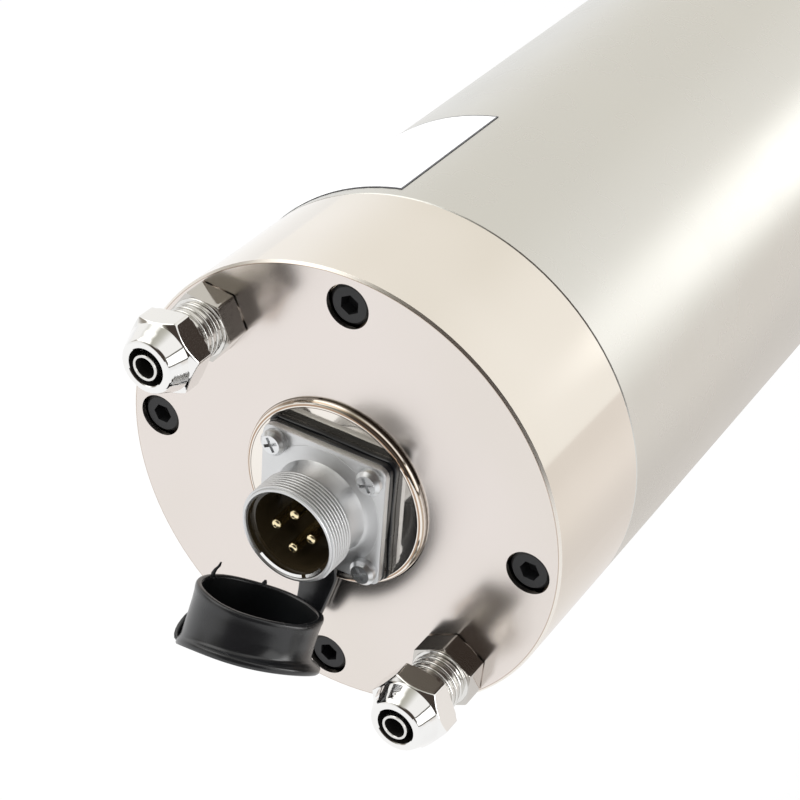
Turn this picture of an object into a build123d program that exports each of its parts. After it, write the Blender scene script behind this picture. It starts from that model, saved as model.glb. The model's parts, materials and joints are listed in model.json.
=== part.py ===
from build123d import *
from math import cos, degrees, pi, radians, sin, tan
import os

# Water-cooled motor spindle with a round 80 mm body and an ER20 collet nose.
#
# Every piece is drawn in the bench frame: Z runs along the spindle axis and points out of the
# rear face, X points right and Y up for someone who looks at the rear face, and z = 0 is the
# middle of the outer tube. lie_down() then turns the finished pieces, so that the axis lies
# along +Y with the rear end at +Y and +Z up.

# Body
BODY_D = 80.0
TUBE_LENGTH = 160.0
TUBE_WALL = 2.0
REAR_BAND = 25.8            # length of the rear cap that shows behind the tube
NOSE_BAND = 27.2            # length of the front housing that shows before the tube
SPIGOT_LENGTH = 4.0         # how far both end pieces reach into the tube
EDGE_CHAMFER = 0.4

# Clearances, each on the radius or on one side
SEAT_FIT = 0.05             # turned seats, screws in their tapped holes
JACKET_FIT = 0.10           # jacket in the tube
PRESS_GAP = 0.02            # bearing rings on their seats
RUNNING_FIT = 0.06          # balls in their races, the collet nut on its thread
COLLET_FIT = 0.04           # collet in the taper
LAMINATION_FIT = 0.05       # stator and rotor packs, bars in their slots
INSULATION = 0.2            # winding to the slot walls
RUBBER_GAP = 0.3            # the soft cap and strap to what they touch
SHELL_HOLE_GAP = 0.3        # connector shell in the cap and in its gasket
O_RING_GAP = 0.03           # O-rings in their grooves
LIP_GAP = 0.2               # nut lip in the collet's groove, each side

# Shares of the body's radius, so that a slimmer spindle gets slimmer bearings and windings
COVER_SHARE = 0.75
FRONT_BEARING_SHARE = 0.5875
FRONT_BORE_SHARE = 0.3125
REAR_BEARING_SHARE = 0.4375
REAR_BORE_SHARE = 0.2125
REAR_HUB_SHARE = 0.525
REAR_NUT_SHARE = 0.325
SPRING_SHARE = 0.35
STATOR_BORE_SHARE = 0.4875
ROTOR_SEAT_SHARE = 0.2875
REAR_SHOULDER_SHARE = 0.265
NOSE_SHOULDER_SHARE = 0.35
DUST_RING_SHARE = 0.3875
DUST_LIP_SHARE = 0.4875

# Screw heads and tips, as shares of the screw's own radius
HEAD_BEVEL = 0.15
TIP_R = 0.8
TIP_TAPER = 0.4

# Rear cap
CAP_END_WALL = 8.0
CAVITY_WALL = 12.0          # from the skin in to the wiring space of the cap
BOSS_R = 16.7
BOSS_HEIGHT = 1.3
BOSS_ROUND = 1.0

# Long screws that clamp both end pieces onto the jacket
SCREW_EDGE = 5.44           # from the skin in to the screws' circle
SCREW_COUNT = 4
M4_R = 2.0
M4_HEAD_R = 3.5
M4_HEAD_HEIGHT = 4.0
M4_KEY = 3.0
M4_KEY_DEPTH = 2.2
COUNTERBORE_R = 3.75
COUNTERBORE_DEPTH = 4.6
SCREW_HOLE_R = 2.25
SCREW_ENGAGEMENT = 7.0
TAP_RUNOUT = 1.0

# Water jacket
JACKET_WALL = 8.4
CHANNEL_COUNT = 7
CHANNEL_WIDTH = 11.0
CHANNEL_PITCH = 17.0
CHANNEL_DEPTH = 3.4
RIB_WIDTH = 12.0            # solid strip that holds the long return passage
GATE_WIDTH = 9.0
PASSAGE_R = 2.2
O_RING_SECTION = 1.7
O_RING_GROOVE_WIDTH = 2.1
O_RING_SETBACK = 14.0       # from the jacket's end to the middle of the groove

# Hose fittings
PORT_EDGE = 6.37            # from the skin in to the two ports
INLET_ANGLE = 135.0
OUTLET_ANGLE = 315.0
FITTING_TAIL_R = 4.0
FITTING_TAIL_LENGTH = 8.0
FITTING_HEX = 10.4
FITTING_HEX_HEIGHT = 4.5
FITTING_THREAD_R = 4.75
FITTING_THREAD_END = 13.6   # above the rear face, as are the next three
BARB_SHOULDER = 15.0
BARB_END = 18.4
NUT_START = 10.4
HOSE_NUT_HEX = 12.0
HOSE_NUT_CORNER_R = 6.65
HOSE_NUT_HEX_HEIGHT = 3.5
HOSE_NUT_LENGTH = 7.8
HOSE_NUT_NOSE_R = 4.5
HOSE_NUT_THREAD_LENGTH = 3.8
HOSE_OPENING_R = 3.2
BARB_R = 2.28
FITTING_BORE_R = 1.69
INLET_HEX_TURN = 55.7
INLET_NUT_TURN = 38.0
OUTLET_HEX_TURN = 28.0
OUTLET_NUT_TURN = 54.0
PORT_O_RING_SECTION = 1.2
PORT_O_RING_R = 2.95
BARB_NECK = 0.3             # step from the barb down to its neck
BARB_NECK_CONE = 0.5
NUT_EDGE = 0.5              # bevel on the corners of the hose nut
NUT_EDGE_STEP = 0.6
NUT_NOSE_BEVEL = 0.3
NUT_BORE_CONE = 1.2

# Round connector on its square flange
FLANGE_SIDE = 22.6
FLANGE_CORNER_R = 1.6
FLANGE_THICKNESS = 1.2
GASKET_SIDE = 23.2
GASKET_THICKNESS = 2.0
GASKET_STEP = 0.4           # upper layer smaller than the lower one
FLANGE_PITCH = 17.6
SHELL_NECK_R = 8.0
SHELL_NECK_LENGTH = 4.2
SHELL_THREAD_R = 8.65
SHELL_THREAD_LENGTH = 5.5
SHELL_BORE_R = 7.7
SHELL_TAIL_R = 8.8
SHELL_TAIL_LENGTH = 12.0
INSERT_DEPTH = 8.7          # from the shell's rim down to the insulator's face
INSERT_LENGTH = 13.0
PIN_CIRCLE_R = 3.25
PIN_COUNT = 4
PIN_R = 0.875
PIN_SETBACK = 1.7           # pin tips below the shell's rim
PIN_LENGTH = 24.0
PIN_NOSE = 0.52             # rounded end of a pin
PIN_TIP_R = 0.35
PIN_BROW_R = 0.66
FLANGE_SCREW_R = 1.25
FLANGE_SCREW_HEAD_R = 2.2
FLANGE_SCREW_HEAD_HEIGHT = 1.2
FLANGE_SCREW_LENGTH = 7.5
WASHER_R = 2.15
WASHER_THICKNESS = 0.5
PAN_BEVEL = 0.54
RECESS_DEPTH = 0.72
RECESS_LENGTH = 2.64
RECESS_WIDTH = 0.55
RECESS_TURN = 30.0

# Dust cap on its strap, hanging below the connector
CUP_BORE_R = 8.9
CUP_RIM_R = 10.5
CUP_WALL = 1.3
CUP_HEIGHT = 6.8
CUP_BASE_R = 11.2
CUP_BASE_THICKNESS = 1.35
CUP_LEAN = 28.0             # degrees that the open cup leans back to the rear face
CUP_SIDE = 4.2              # cup to the left of the connector
CUP_DROP = 14.6             # rim's centre below the axis
CUP_STANDOFF = 7.225        # strap's lower end behind the rear face
CUP_LIP = 0.8               # bead round the mouth
CUP_EDGE = 0.4
TAB_WIDTH = 7.0
TAB_REACH = 2.6
TAB_ROOT = 1.0              # tab's overlap with the base
TAB_CORNER_R = 1.5
STRAP_WIDTH = 7.0
STRAP_THICKNESS = 1.2
STRAP_SIDE = 1.8            # strap to the left of the connector
STRAP_STANDOFF = 1.9        # strap's middle behind the rear face
STRAP_BEND_R = 3.4

# Nameplate
PLATE_LENGTH = 31.6
PLATE_SETBACK = 2.4         # from the rear seam
PLATE_ANGLE = 134.6
PLATE_HALF_ANGLE = 33.0
PLATE_THICKNESS = 0.07
PLATE_GLUE_GAP = 0.02

# Stator, winding and rotor
STACK_LENGTH = 80.0
STATOR_SLOTS = 24
SLOT_WIDTH = 2.8
SLOT_MOUTH = 1.2
SLOT_TOOTH = 1.2
BACK_IRON = 1.75            # lamination left behind the slots
END_TURN_LENGTH = 10.0
END_TURN_GAP = 1.2          # end turns to the jacket
AIR_GAP = 0.5
ROTOR_BARS = 18
ROTOR_BAR_R = 1.2
ROTOR_BAR_DEPTH = 2.6       # bar's centre below the rotor's skin
CAGE_RING_STEP = 0.4        # end ring below the rotor's skin
CAGE_RING_WALL = 5.0
CAGE_RING_LENGTH = 5.0

# Leads from the winding to the pins
LEAD_R = 1.1
LEAD_STANDOFF = 1.8         # lead's middle outside the rear hub
LEAD_HOLE_GAP = 0.5
LEAD_BEND_R = 2.5
LEAD_RISE = 0.45            # share of the way to the pins at which a lead turns in
LEAD_END_STRAIGHT = 6.0     # last stretch, in line with the pin
LEAD_START_ANGLE = 45.0

# Bearings: front pair 25 x 47 x 12 mm, rear pair 17 x 35 x 10 mm
FRONT_BEARING_WIDTH = 12.0
FRONT_BALL_R = 3.175
FRONT_BALLS = 11
REAR_BEARING_WIDTH = 10.0
REAR_BALL_R = 2.38
REAR_BALLS = 10
RACE_SHARE = 0.55           # land height from the ball's centre, in ball radii
CAGE_SHARE = 0.30           # cage wall each side of the pitch circle, in ball radii
CAGE_SPAN_SHARE = 1.30      # half width of the cage, in ball radii
POCKET_GAP = 0.12
BEARING_CHAMFER = 0.5

# Front housing, cover and dust ring
COVER_THICKNESS = 6.0
COVER_BORE_GAP = 0.4        # cover to the dust ring
COVER_SCREW_EDGE = 3.2      # from the cover's edge in to its screws
M3_R = 1.5
M3_HEAD_R = 2.75
M3_HEAD_HEIGHT = 3.0
M3_KEY = 2.5
M3_KEY_DEPTH = 1.6
M3_COUNTERBORE_R = 3.0
M3_HOLE_R = 1.7
M3_LENGTH = 8.0
M3_SINK = 0.3               # heads below the cover's face
SHOULDER_STEP = 2.9         # shoulder behind the front outer rings
HOUSING_HUB_LENGTH = 8.0
DUST_LIP_THICKNESS = 1.6
DUST_LIP_GAP = 0.4

# Rear bearing housing
REAR_FLANGE_THICKNESS = 10.0
REAR_FLANGE_STEP = 1.0      # flange seat in the jacket's end
REAR_HUB_OVERHANG = 2.0     # hub beyond the flange, into the cap's space
SPRING_HEIGHT = 2.0
SPRING_WALL = 0.5
SPRING_WAVES = 3
SPRING_SEAT_WALL = 2.0
SPRING_SEAT_STEP = 0.6
SPRING_PAD_WIDTH = 0.8      # share of the washer's width

# Shaft
REAR_THREAD_STEP = 0.5      # thread below the rear bearing seat
REAR_THREAD_RUNOUT = 1.0
LOCK_NUT_HEIGHT = 5.0
FRONT_LOCK_NUT_GAP = 2.1    # front lock nut inside the housing's shoulder
LOCK_NUT_SLOTS = 4
LOCK_NUT_SLOT_WIDTH = 4.0
LOCK_NUT_SLOT_DEPTH = 1.6
NOSE_SHOULDER_LENGTH = 3.0
FLATS_LENGTH = 10.0
FLATS_ACROSS = 22.0
NOSE_THREAD_R = 12.45
NOSE_THREAD_LENGTH = 13.0
TAPER_ANGLE = 8.0
TAPER_MOUTH_R = 10.6
TAPER_LENGTH = 25.0
RELIEF_R = 7.2
RELIEF_LENGTH = 15.0
DRILL_POINT = 3.0

# Collet and its nut
COLLET_LENGTH = 31.5
COLLET_HEAD = 4.0           # collet beyond the shaft's end
COLLET_R = 10.5
COLLET_BORE_R = 3.0
COLLET_GROOVE_R = 9.5
COLLET_GROOVE_WIDTH = 1.5
COLLET_RIM = 0.6
COLLET_CONE_LENGTH = 2.0
COLLET_CONE_ANGLE = 30.0
COLLET_SLITS = 6
COLLET_SLIT_WIDTH = 0.6
COLLET_SLIT_STOP = 5.0
COLLET_TURN = 15.0
NUT_LENGTH = 19.0
NUT_R = 17.0
NUT_HEX = 30.0
NUT_HEX_LENGTH = 13.0
NUT_FACE_WALL = 2.0         # nut beyond the collet's face
NUT_FACE_R = 13.5
NUT_SLOPE = 3.0
NUT_BACK_BEVEL = 1.0

# Radii that follow
BODY_R = BODY_D / 2
TUBE_BORE_R = BODY_R - TUBE_WALL
SPIGOT_R = TUBE_BORE_R - SEAT_FIT
JACKET_R = TUBE_BORE_R - JACKET_FIT
JACKET_BORE_R = JACKET_R - JACKET_WALL
CHANNEL_FLOOR_R = JACKET_R - CHANNEL_DEPTH
SCREW_CIRCLE_R = BODY_R - SCREW_EDGE
PORT_CIRCLE_R = BODY_R - PORT_EDGE
CAVITY_R = BODY_R - CAVITY_WALL
COVER_R = BODY_R * COVER_SHARE
COVER_SCREW_CIRCLE_R = COVER_R - COVER_SCREW_EDGE
FRONT_BEARING_R = BODY_R * FRONT_BEARING_SHARE
FRONT_BEARING_BORE_R = BODY_R * FRONT_BORE_SHARE
REAR_BEARING_R = BODY_R * REAR_BEARING_SHARE
REAR_BEARING_BORE_R = BODY_R * REAR_BORE_SHARE
REAR_THREAD_R = REAR_BEARING_BORE_R - REAR_THREAD_STEP
REAR_LOCK_NUT_R = BODY_R * REAR_NUT_SHARE
REAR_HUB_R = BODY_R * REAR_HUB_SHARE
REAR_SHOULDER_R = BODY_R * REAR_SHOULDER_SHARE
ROTOR_SEAT_R = BODY_R * ROTOR_SEAT_SHARE
NOSE_SHOULDER_R = BODY_R * NOSE_SHOULDER_SHARE
SPRING_SEAT_R = BODY_R * SPRING_SHARE
STATOR_BORE_R = BODY_R * STATOR_BORE_SHARE
DUST_RING_R = BODY_R * DUST_RING_SHARE
DUST_LIP_R = BODY_R * DUST_LIP_SHARE
COVER_BORE_R = DUST_RING_R + COVER_BORE_GAP
HOUSING_SHOULDER_R = FRONT_BEARING_R - SHOULDER_STEP
FRONT_LOCK_NUT_R = HOUSING_SHOULDER_R - FRONT_LOCK_NUT_GAP
REAR_FLANGE_R = JACKET_BORE_R + REAR_FLANGE_STEP
LEAD_CIRCLE_R = REAR_HUB_R + LEAD_STANDOFF
LEAD_HOLE_R = LEAD_R + LEAD_HOLE_GAP
STATOR_R = JACKET_BORE_R - LAMINATION_FIT
SLOT_DEPTH = STATOR_R - BACK_IRON - STATOR_BORE_R - SLOT_TOOTH
END_TURN_START_R = STATOR_BORE_R + SLOT_TOOTH + INSULATION
END_TURN_R = JACKET_BORE_R - END_TURN_GAP
ROTOR_R = STATOR_BORE_R - AIR_GAP
SHELL_HOLE_R = SHELL_TAIL_R + SHELL_HOLE_GAP
COLLET_CONE_DROP = COLLET_CONE_LENGTH * tan(radians(COLLET_CONE_ANGLE))
CUP_SWING_R = CUP_BASE_R + RUBBER_GAP + STRAP_THICKNESS / 2     # strap's end from the cup's axis
CUP_MIDDLE = CUP_HEIGHT + CUP_BASE_THICKNESS / 2                # base's middle below the rim
CUP_REACH = CUP_STANDOFF - CUP_MIDDLE * sin(radians(CUP_LEAN)) + CUP_SWING_R * cos(radians(CUP_LEAN))

# Places along the axis that follow
REAR_SEAM = TUBE_LENGTH / 2
NOSE_SEAM = -REAR_SEAM
REAR_FACE = REAR_SEAM + REAR_BAND
NOSE_FACE = NOSE_SEAM - NOSE_BAND
JACKET_REAR = REAR_SEAM - SPIGOT_LENGTH
JACKET_NOSE = NOSE_SEAM + SPIGOT_LENGTH
CAVITY_END = REAR_FACE - CAP_END_WALL
BOSS_FACE = REAR_FACE + BOSS_HEIGHT
FLANGE_BACK = BOSS_FACE + GASKET_THICKNESS
FLANGE_FACE = FLANGE_BACK + FLANGE_THICKNESS
SHELL_RIM = FLANGE_FACE + SHELL_NECK_LENGTH + SHELL_THREAD_LENGTH
INSERT_FACE = SHELL_RIM - INSERT_DEPTH
PIN_TIP = SHELL_RIM - PIN_SETBACK
PIN_TAIL = PIN_TIP - PIN_LENGTH
STACK_END = STACK_LENGTH / 2
COVER_SEAT = NOSE_FACE + COVER_THICKNESS
FRONT_BEARINGS_END = COVER_SEAT + 2 * FRONT_BEARING_WIDTH
HOUSING_HUB_END = JACKET_NOSE + HOUSING_HUB_LENGTH
FLANGE_SEAT = JACKET_REAR - REAR_FLANGE_THICKNESS
REAR_BEARINGS_END = JACKET_REAR + REAR_HUB_OVERHANG
REAR_BEARINGS_START = REAR_BEARINGS_END - 2 * REAR_BEARING_WIDTH
SPRING_START = REAR_BEARINGS_START - SPRING_HEIGHT
REAR_HUB_START = SPRING_START - SPRING_SEAT_WALL
SHAFT_REAR = REAR_BEARINGS_END + LOCK_NUT_HEIGHT + REAR_THREAD_RUNOUT
DUST_RING_END = NOSE_FACE - DUST_LIP_GAP - DUST_LIP_THICKNESS
FLATS_START = DUST_RING_END - NOSE_SHOULDER_LENGTH
NOSE_THREAD_START = FLATS_START - FLATS_LENGTH
SHAFT_NOSE = NOSE_THREAD_START - NOSE_THREAD_LENGTH
COLLET_FACE = SHAFT_NOSE - COLLET_HEAD
COLLET_RIM_START = COLLET_FACE + COLLET_CONE_LENGTH
NUT_FACE = COLLET_FACE - NUT_FACE_WALL

CENTRE_BOTTOM = (Align.CENTER, Align.CENTER, Align.MIN)
ALL_CENTRE = (Align.CENTER, Align.CENTER, Align.CENTER)


def turned(points):
    """Body turned about the axis from an outline of (radius, z) points."""
    outline = Polyline(*[(r, 0, z) for r, z in points], close=True)
    return revolve(make_face(outline), Axis.Z)


def rod(radius, low, high):
    """Solid cylinder on the axis from z = low to z = high."""
    return Pos(0, 0, low) * Cylinder(radius, high - low, align=CENTRE_BOTTOM)


def ring(outer, inner, low, high):
    """Plain ring on the axis."""
    return turned([(inner, low), (outer, low), (outer, high), (inner, high)])


def bevelled_ring(outer, inner, low, high, bevel):
    """Ring with all four edges bevelled, as bearing rings have."""
    return turned([
        (inner, low + bevel), (inner + bevel, low), (outer - bevel, low), (outer, low + bevel),
        (outer, high - bevel), (outer - bevel, high), (inner + bevel, high), (inner, high - bevel),
    ])


def hexagon(across, low, high, turn=0.0):
    """Hexagonal prism on the axis, with one corner at the angle turn."""
    face = RegularPolygon(across / 2, 6, major_radius=False, rotation=turn)
    return Pos(0, 0, low) * extrude(face, amount=high - low)


def square_plate(side, corner, low, high):
    """Square plate on the axis with rounded corners."""
    return Pos(0, 0, low) * extrude(RectangleRounded(side, side, corner), amount=high - low)


def at(radius, angle):
    """Place on a circle round the axis, turned to face outwards."""
    return Rot(0, 0, angle) * Pos(radius, 0, 0)


def around(shape, count, radius, start=0.0):
    """Copies of one shape evenly spaced on a circle."""
    return [at(radius, start + 360.0 * i / count) * shape for i in range(count)]


def at_flange_holes(shape):
    """Copies of one shape at the four corners of the connector's hole pattern."""
    half = FLANGE_PITCH / 2
    return [Pos(x, y, 0) * shape for x in (-half, half) for y in (-half, half)]


def joined(shapes):
    """One solid from shapes that overlap or touch."""
    total = shapes[0]
    for shape in shapes[1:]:
        total = total + shape
    return total


def group(shapes):
    """Separate solids that share one node."""
    return Compound(children=[solid for shape in shapes for solid in shape.solids()])


def socket_screw(shank_r, head_r, head_height, key, key_depth, tip, seat):
    """Socket head screw that points to -z: shank from tip to seat, head above the seat."""
    bevel = HEAD_BEVEL * head_r
    top = seat + head_height
    body = turned([
        (0, tip), (shank_r * TIP_R, tip), (shank_r, tip + shank_r * TIP_TAPER), (shank_r, seat),
        (head_r, seat),
        (head_r, top - bevel), (head_r - bevel, top), (0, top),
    ])
    return body - hexagon(key, top - key_depth, top + 1)


def outer_tube():
    """Ground tube that a clamp grips."""
    c = EDGE_CHAMFER / 2
    return turned([
        (TUBE_BORE_R, NOSE_SEAM), (BODY_R - c, NOSE_SEAM), (BODY_R, NOSE_SEAM + c),
        (BODY_R, REAR_SEAM - c), (BODY_R - c, REAR_SEAM), (TUBE_BORE_R, REAR_SEAM),
    ])


def nameplate():
    """Foil plate glued round the tube near the rear seam."""
    inner = BODY_R + PLATE_GLUE_GAP
    high = REAR_SEAM - PLATE_SETBACK
    band = ring(inner + PLATE_THICKNESS, inner, high - PLATE_LENGTH, high)
    reach = 2 * BODY_R
    edge = reach * tan(radians(PLATE_HALF_ANGLE))
    wedge = Polyline((0, 0), (reach, -edge), (reach, edge), close=True)
    sector = extrude(make_face(wedge), amount=REAR_SEAM)
    return Rot(0, 0, PLATE_ANGLE) * (band & sector)


def rear_cap():
    """Turned end cap with its boss, screw counterbores, water ports and wiring space."""
    c = EDGE_CHAMFER
    outline = Polyline(
        (CAVITY_R, 0, CAVITY_END), (CAVITY_R, 0, JACKET_REAR), (SPIGOT_R, 0, JACKET_REAR),
        (SPIGOT_R, 0, REAR_SEAM), (BODY_R - c / 2, 0, REAR_SEAM), (BODY_R, 0, REAR_SEAM + c / 2),
        (BODY_R, 0, REAR_FACE - c), (BODY_R - c, 0, REAR_FACE), (BOSS_R, 0, REAR_FACE),
        (BOSS_R, 0, BOSS_FACE - BOSS_ROUND),
    )
    bend = BOSS_ROUND * (1 - cos(pi / 4))
    crown = ThreePointArc(
        (BOSS_R, 0, BOSS_FACE - BOSS_ROUND), (BOSS_R - bend, 0, BOSS_FACE - bend),
        (BOSS_R - BOSS_ROUND, 0, BOSS_FACE),
    )
    inside = Polyline(
        (BOSS_R - BOSS_ROUND, 0, BOSS_FACE), (SHELL_HOLE_R, 0, BOSS_FACE),
        (SHELL_HOLE_R, 0, CAVITY_END), (CAVITY_R, 0, CAVITY_END),
    )
    body = revolve(make_face([outline, crown, inside]), Axis.Z)
    screw_seat = REAR_FACE - COUNTERBORE_DEPTH
    screw_hole = rod(SCREW_HOLE_R, JACKET_REAR - 1, REAR_FACE + 1) + rod(
        COUNTERBORE_R, screw_seat, REAR_FACE + 1)
    port = joined([
        rod(FITTING_TAIL_R + SEAT_FIT, REAR_FACE - FITTING_TAIL_LENGTH - 1, REAR_FACE + 1),
        rod(PASSAGE_R, JACKET_REAR - 1, REAR_FACE),
        rod(PORT_O_RING_R + PORT_O_RING_SECTION / 2 + SEAT_FIT, JACKET_REAR - 1,
            JACKET_REAR + PORT_O_RING_SECTION),
    ])
    flange_hole = rod(FLANGE_SCREW_R + SEAT_FIT, CAVITY_END + 1, BOSS_FACE + 1)
    cuts = around(screw_hole, SCREW_COUNT, SCREW_CIRCLE_R)
    cuts += [at(PORT_CIRCLE_R, INLET_ANGLE) * port, at(PORT_CIRCLE_R, OUTLET_ANGLE) * port]
    cuts += at_flange_holes(flange_hole)
    return body - cuts


def end_screws(outer_face, direction):
    """The four long M4 screws of one end; direction is +1 at the rear and -1 at the nose."""
    seat = direction * outer_face - COUNTERBORE_DEPTH
    tip = direction * (JACKET_REAR if direction > 0 else JACKET_NOSE) - SCREW_ENGAGEMENT
    screw = socket_screw(M4_R, M4_HEAD_R, M4_HEAD_HEIGHT, M4_KEY, M4_KEY_DEPTH, tip, seat)
    if direction < 0:
        screw = Rot(180, 0, 0) * screw
    return group(around(screw, SCREW_COUNT, SCREW_CIRCLE_R))


def port_o_rings():
    """Small O-rings that seal the two water ports between cap and jacket."""
    o_ring = Pos(0, 0, JACKET_REAR + PORT_O_RING_SECTION / 2) * Torus(
        PORT_O_RING_R, PORT_O_RING_SECTION / 2 - O_RING_GAP)
    return group([at(PORT_CIRCLE_R, angle) * o_ring for angle in (INLET_ANGLE, OUTLET_ANGLE)])


def channel_middles():
    """Middle of each ring channel, from the rear end to the nose."""
    first = CHANNEL_PITCH * (CHANNEL_COUNT - 1) / 2
    return [first - CHANNEL_PITCH * i for i in range(CHANNEL_COUNT)]


def water_jacket():
    """Sleeve round the stator with ring channels, gates between them and a return passage."""
    body = ring(JACKET_R, JACKET_BORE_R, JACKET_NOSE, JACKET_REAR)
    body -= rod(REAR_FLANGE_R + SEAT_FIT, FLANGE_SEAT, JACKET_REAR + 1)
    middles = channel_middles()
    half = CHANNEL_WIDTH / 2
    channels = [ring(BODY_R, CHANNEL_FLOOR_R, z - half, z + half) for z in middles]
    rib = Rot(0, 0, OUTLET_ANGLE) * Pos(CHANNEL_FLOOR_R, 0, 0) * Box(
        3 * CHANNEL_DEPTH, RIB_WIDTH, 2 * TUBE_LENGTH)
    body -= [channel - rib for channel in channels]
    beside_rib = degrees((RIB_WIDTH + GATE_WIDTH) / 2 / CHANNEL_FLOOR_R)
    land = CHANNEL_PITCH - CHANNEL_WIDTH
    for i, z in enumerate(middles[:-1]):
        side = beside_rib if i % 2 else -beside_rib
        gate = Pos(0, 0, z - CHANNEL_PITCH / 2) * Box(2 * CHANNEL_DEPTH, GATE_WIDTH, land + 1)
        body -= at(CHANNEL_FLOOR_R + CHANNEL_DEPTH, OUTLET_ANGLE + side) * gate
    inlet = rod(PASSAGE_R, middles[0], JACKET_REAR + 1)
    outlet = rod(PASSAGE_R, middles[-1], JACKET_REAR + 1)
    last_opening = Pos(CHANNEL_DEPTH, 0, middles[-1]) * Box(
        2 * CHANNEL_DEPTH, RIB_WIDTH + 2, CHANNEL_WIDTH)
    body -= [at(PORT_CIRCLE_R, INLET_ANGLE) * inlet, at(PORT_CIRCLE_R, OUTLET_ANGLE) * outlet]
    body -= at(CHANNEL_FLOOR_R, OUTLET_ANGLE) * last_opening
    depth = SCREW_ENGAGEMENT + TAP_RUNOUT
    for low, high in ((JACKET_REAR - depth, JACKET_REAR + 1), (JACKET_NOSE - 1, JACKET_NOSE + depth)):
        body -= around(rod(M4_R + SEAT_FIT, low, high), SCREW_COUNT, SCREW_CIRCLE_R)
    floor = JACKET_R - O_RING_SECTION
    for z in o_ring_places():
        body -= ring(BODY_R, floor, z - O_RING_GROOVE_WIDTH / 2, z + O_RING_GROOVE_WIDTH / 2)
    return body


def o_ring_places():
    """Middle of the two O-ring grooves near the jacket's ends."""
    return [JACKET_REAR - O_RING_SETBACK, JACKET_NOSE + O_RING_SETBACK]


def jacket_o_rings():
    """O-rings that seal the jacket in the tube."""
    middle = JACKET_R - O_RING_SECTION / 2
    thick = O_RING_SECTION / 2 - O_RING_GAP
    return group([Pos(0, 0, z) * Torus(middle, thick) for z in o_ring_places()])


def slot_outline(shrink):
    """One stator slot on the +X side: a narrow mouth at the bore and a wide body behind it."""
    body_start = STATOR_BORE_R + SLOT_TOOTH + shrink
    body_end = STATOR_BORE_R + SLOT_TOOTH + SLOT_DEPTH - shrink
    middle = (body_start + body_end) / 2
    return Pos(middle, 0) * Rectangle(body_end - body_start, SLOT_WIDTH - 2 * shrink)


def stator_core():
    """Stack of slotted laminations, as one block."""
    section = Circle(STATOR_R) - Circle(STATOR_BORE_R)
    mouth_length = 2 * SLOT_TOOTH
    mouth = Pos(STATOR_BORE_R + SLOT_TOOTH / 2, 0) * Rectangle(mouth_length, SLOT_MOUTH)
    slot = slot_outline(0) + mouth
    section -= [Rot(0, 0, 360 * i / STATOR_SLOTS) * slot for i in range(STATOR_SLOTS)]
    return Pos(0, 0, -STACK_END) * extrude(section, amount=STACK_LENGTH)


def stator_windings():
    """Copper: one bundle through each slot and the two rings of end turns."""
    inner, outer = END_TURN_START_R, END_TURN_R
    bevel = (outer - inner) / 5
    gap = INSULATION
    low = STACK_END + gap
    high = low + END_TURN_LENGTH
    end_turns = turned([
        (inner, low), (outer - bevel, low), (outer, low + bevel), (outer, high - bevel),
        (outer - bevel, high), (inner + bevel, high), (inner, high - bevel),
    ])
    reach = STACK_LENGTH + 2 * gap + 1
    bundle = Pos(0, 0, -reach / 2) * extrude(slot_outline(INSULATION), amount=reach)
    bundles = [Rot(0, 0, 360 * i / STATOR_SLOTS) * bundle for i in range(STATOR_SLOTS)]
    return joined([end_turns, Rot(180, 0, 0) * end_turns] + bundles)


def lead_wires():
    """Four insulated leads from the end turns through the rear housing to the pins."""
    start = STACK_END + INSULATION + END_TURN_LENGTH + INSULATION
    straight = JACKET_REAR + (PIN_TAIL - JACKET_REAR) * LEAD_RISE
    bend_in = PIN_TAIL - LEAD_END_STRAIGHT
    leads = []
    for i in range(PIN_COUNT):
        path = FilletPolyline(
            (LEAD_CIRCLE_R, 0, start), (LEAD_CIRCLE_R, 0, straight),
            (PIN_CIRCLE_R, 0, bend_in), (PIN_CIRCLE_R, 0, PIN_TAIL - SEAT_FIT), radius=LEAD_BEND_R,
        )
        section = Plane(origin=(LEAD_CIRCLE_R, 0, start), z_dir=(0, 0, 1)) * Circle(LEAD_R)
        leads.append(Rot(0, 0, LEAD_START_ANGLE + 360 * i / PIN_COUNT) * sweep(section, path=path))
    return group(leads)


def rear_bearing_housing():
    """Flanged hub that carries the rear pair, clamped between jacket and rear cap."""
    body = turned([
        (SPRING_SEAT_R, REAR_HUB_START), (REAR_HUB_R, REAR_HUB_START), (REAR_HUB_R, FLANGE_SEAT),
        (REAR_FLANGE_R, FLANGE_SEAT), (REAR_FLANGE_R, JACKET_REAR), (REAR_HUB_R, JACKET_REAR),
        (REAR_HUB_R, REAR_BEARINGS_END), (REAR_BEARING_R + PRESS_GAP, REAR_BEARINGS_END),
        (REAR_BEARING_R + PRESS_GAP, SPRING_START), (SPRING_SEAT_R, SPRING_START),
    ])
    lead_hole = rod(LEAD_HOLE_R, REAR_HUB_START - 1, REAR_BEARINGS_END + 1)
    return body - around(lead_hole, PIN_COUNT, LEAD_CIRCLE_R, LEAD_START_ANGLE)


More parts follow.
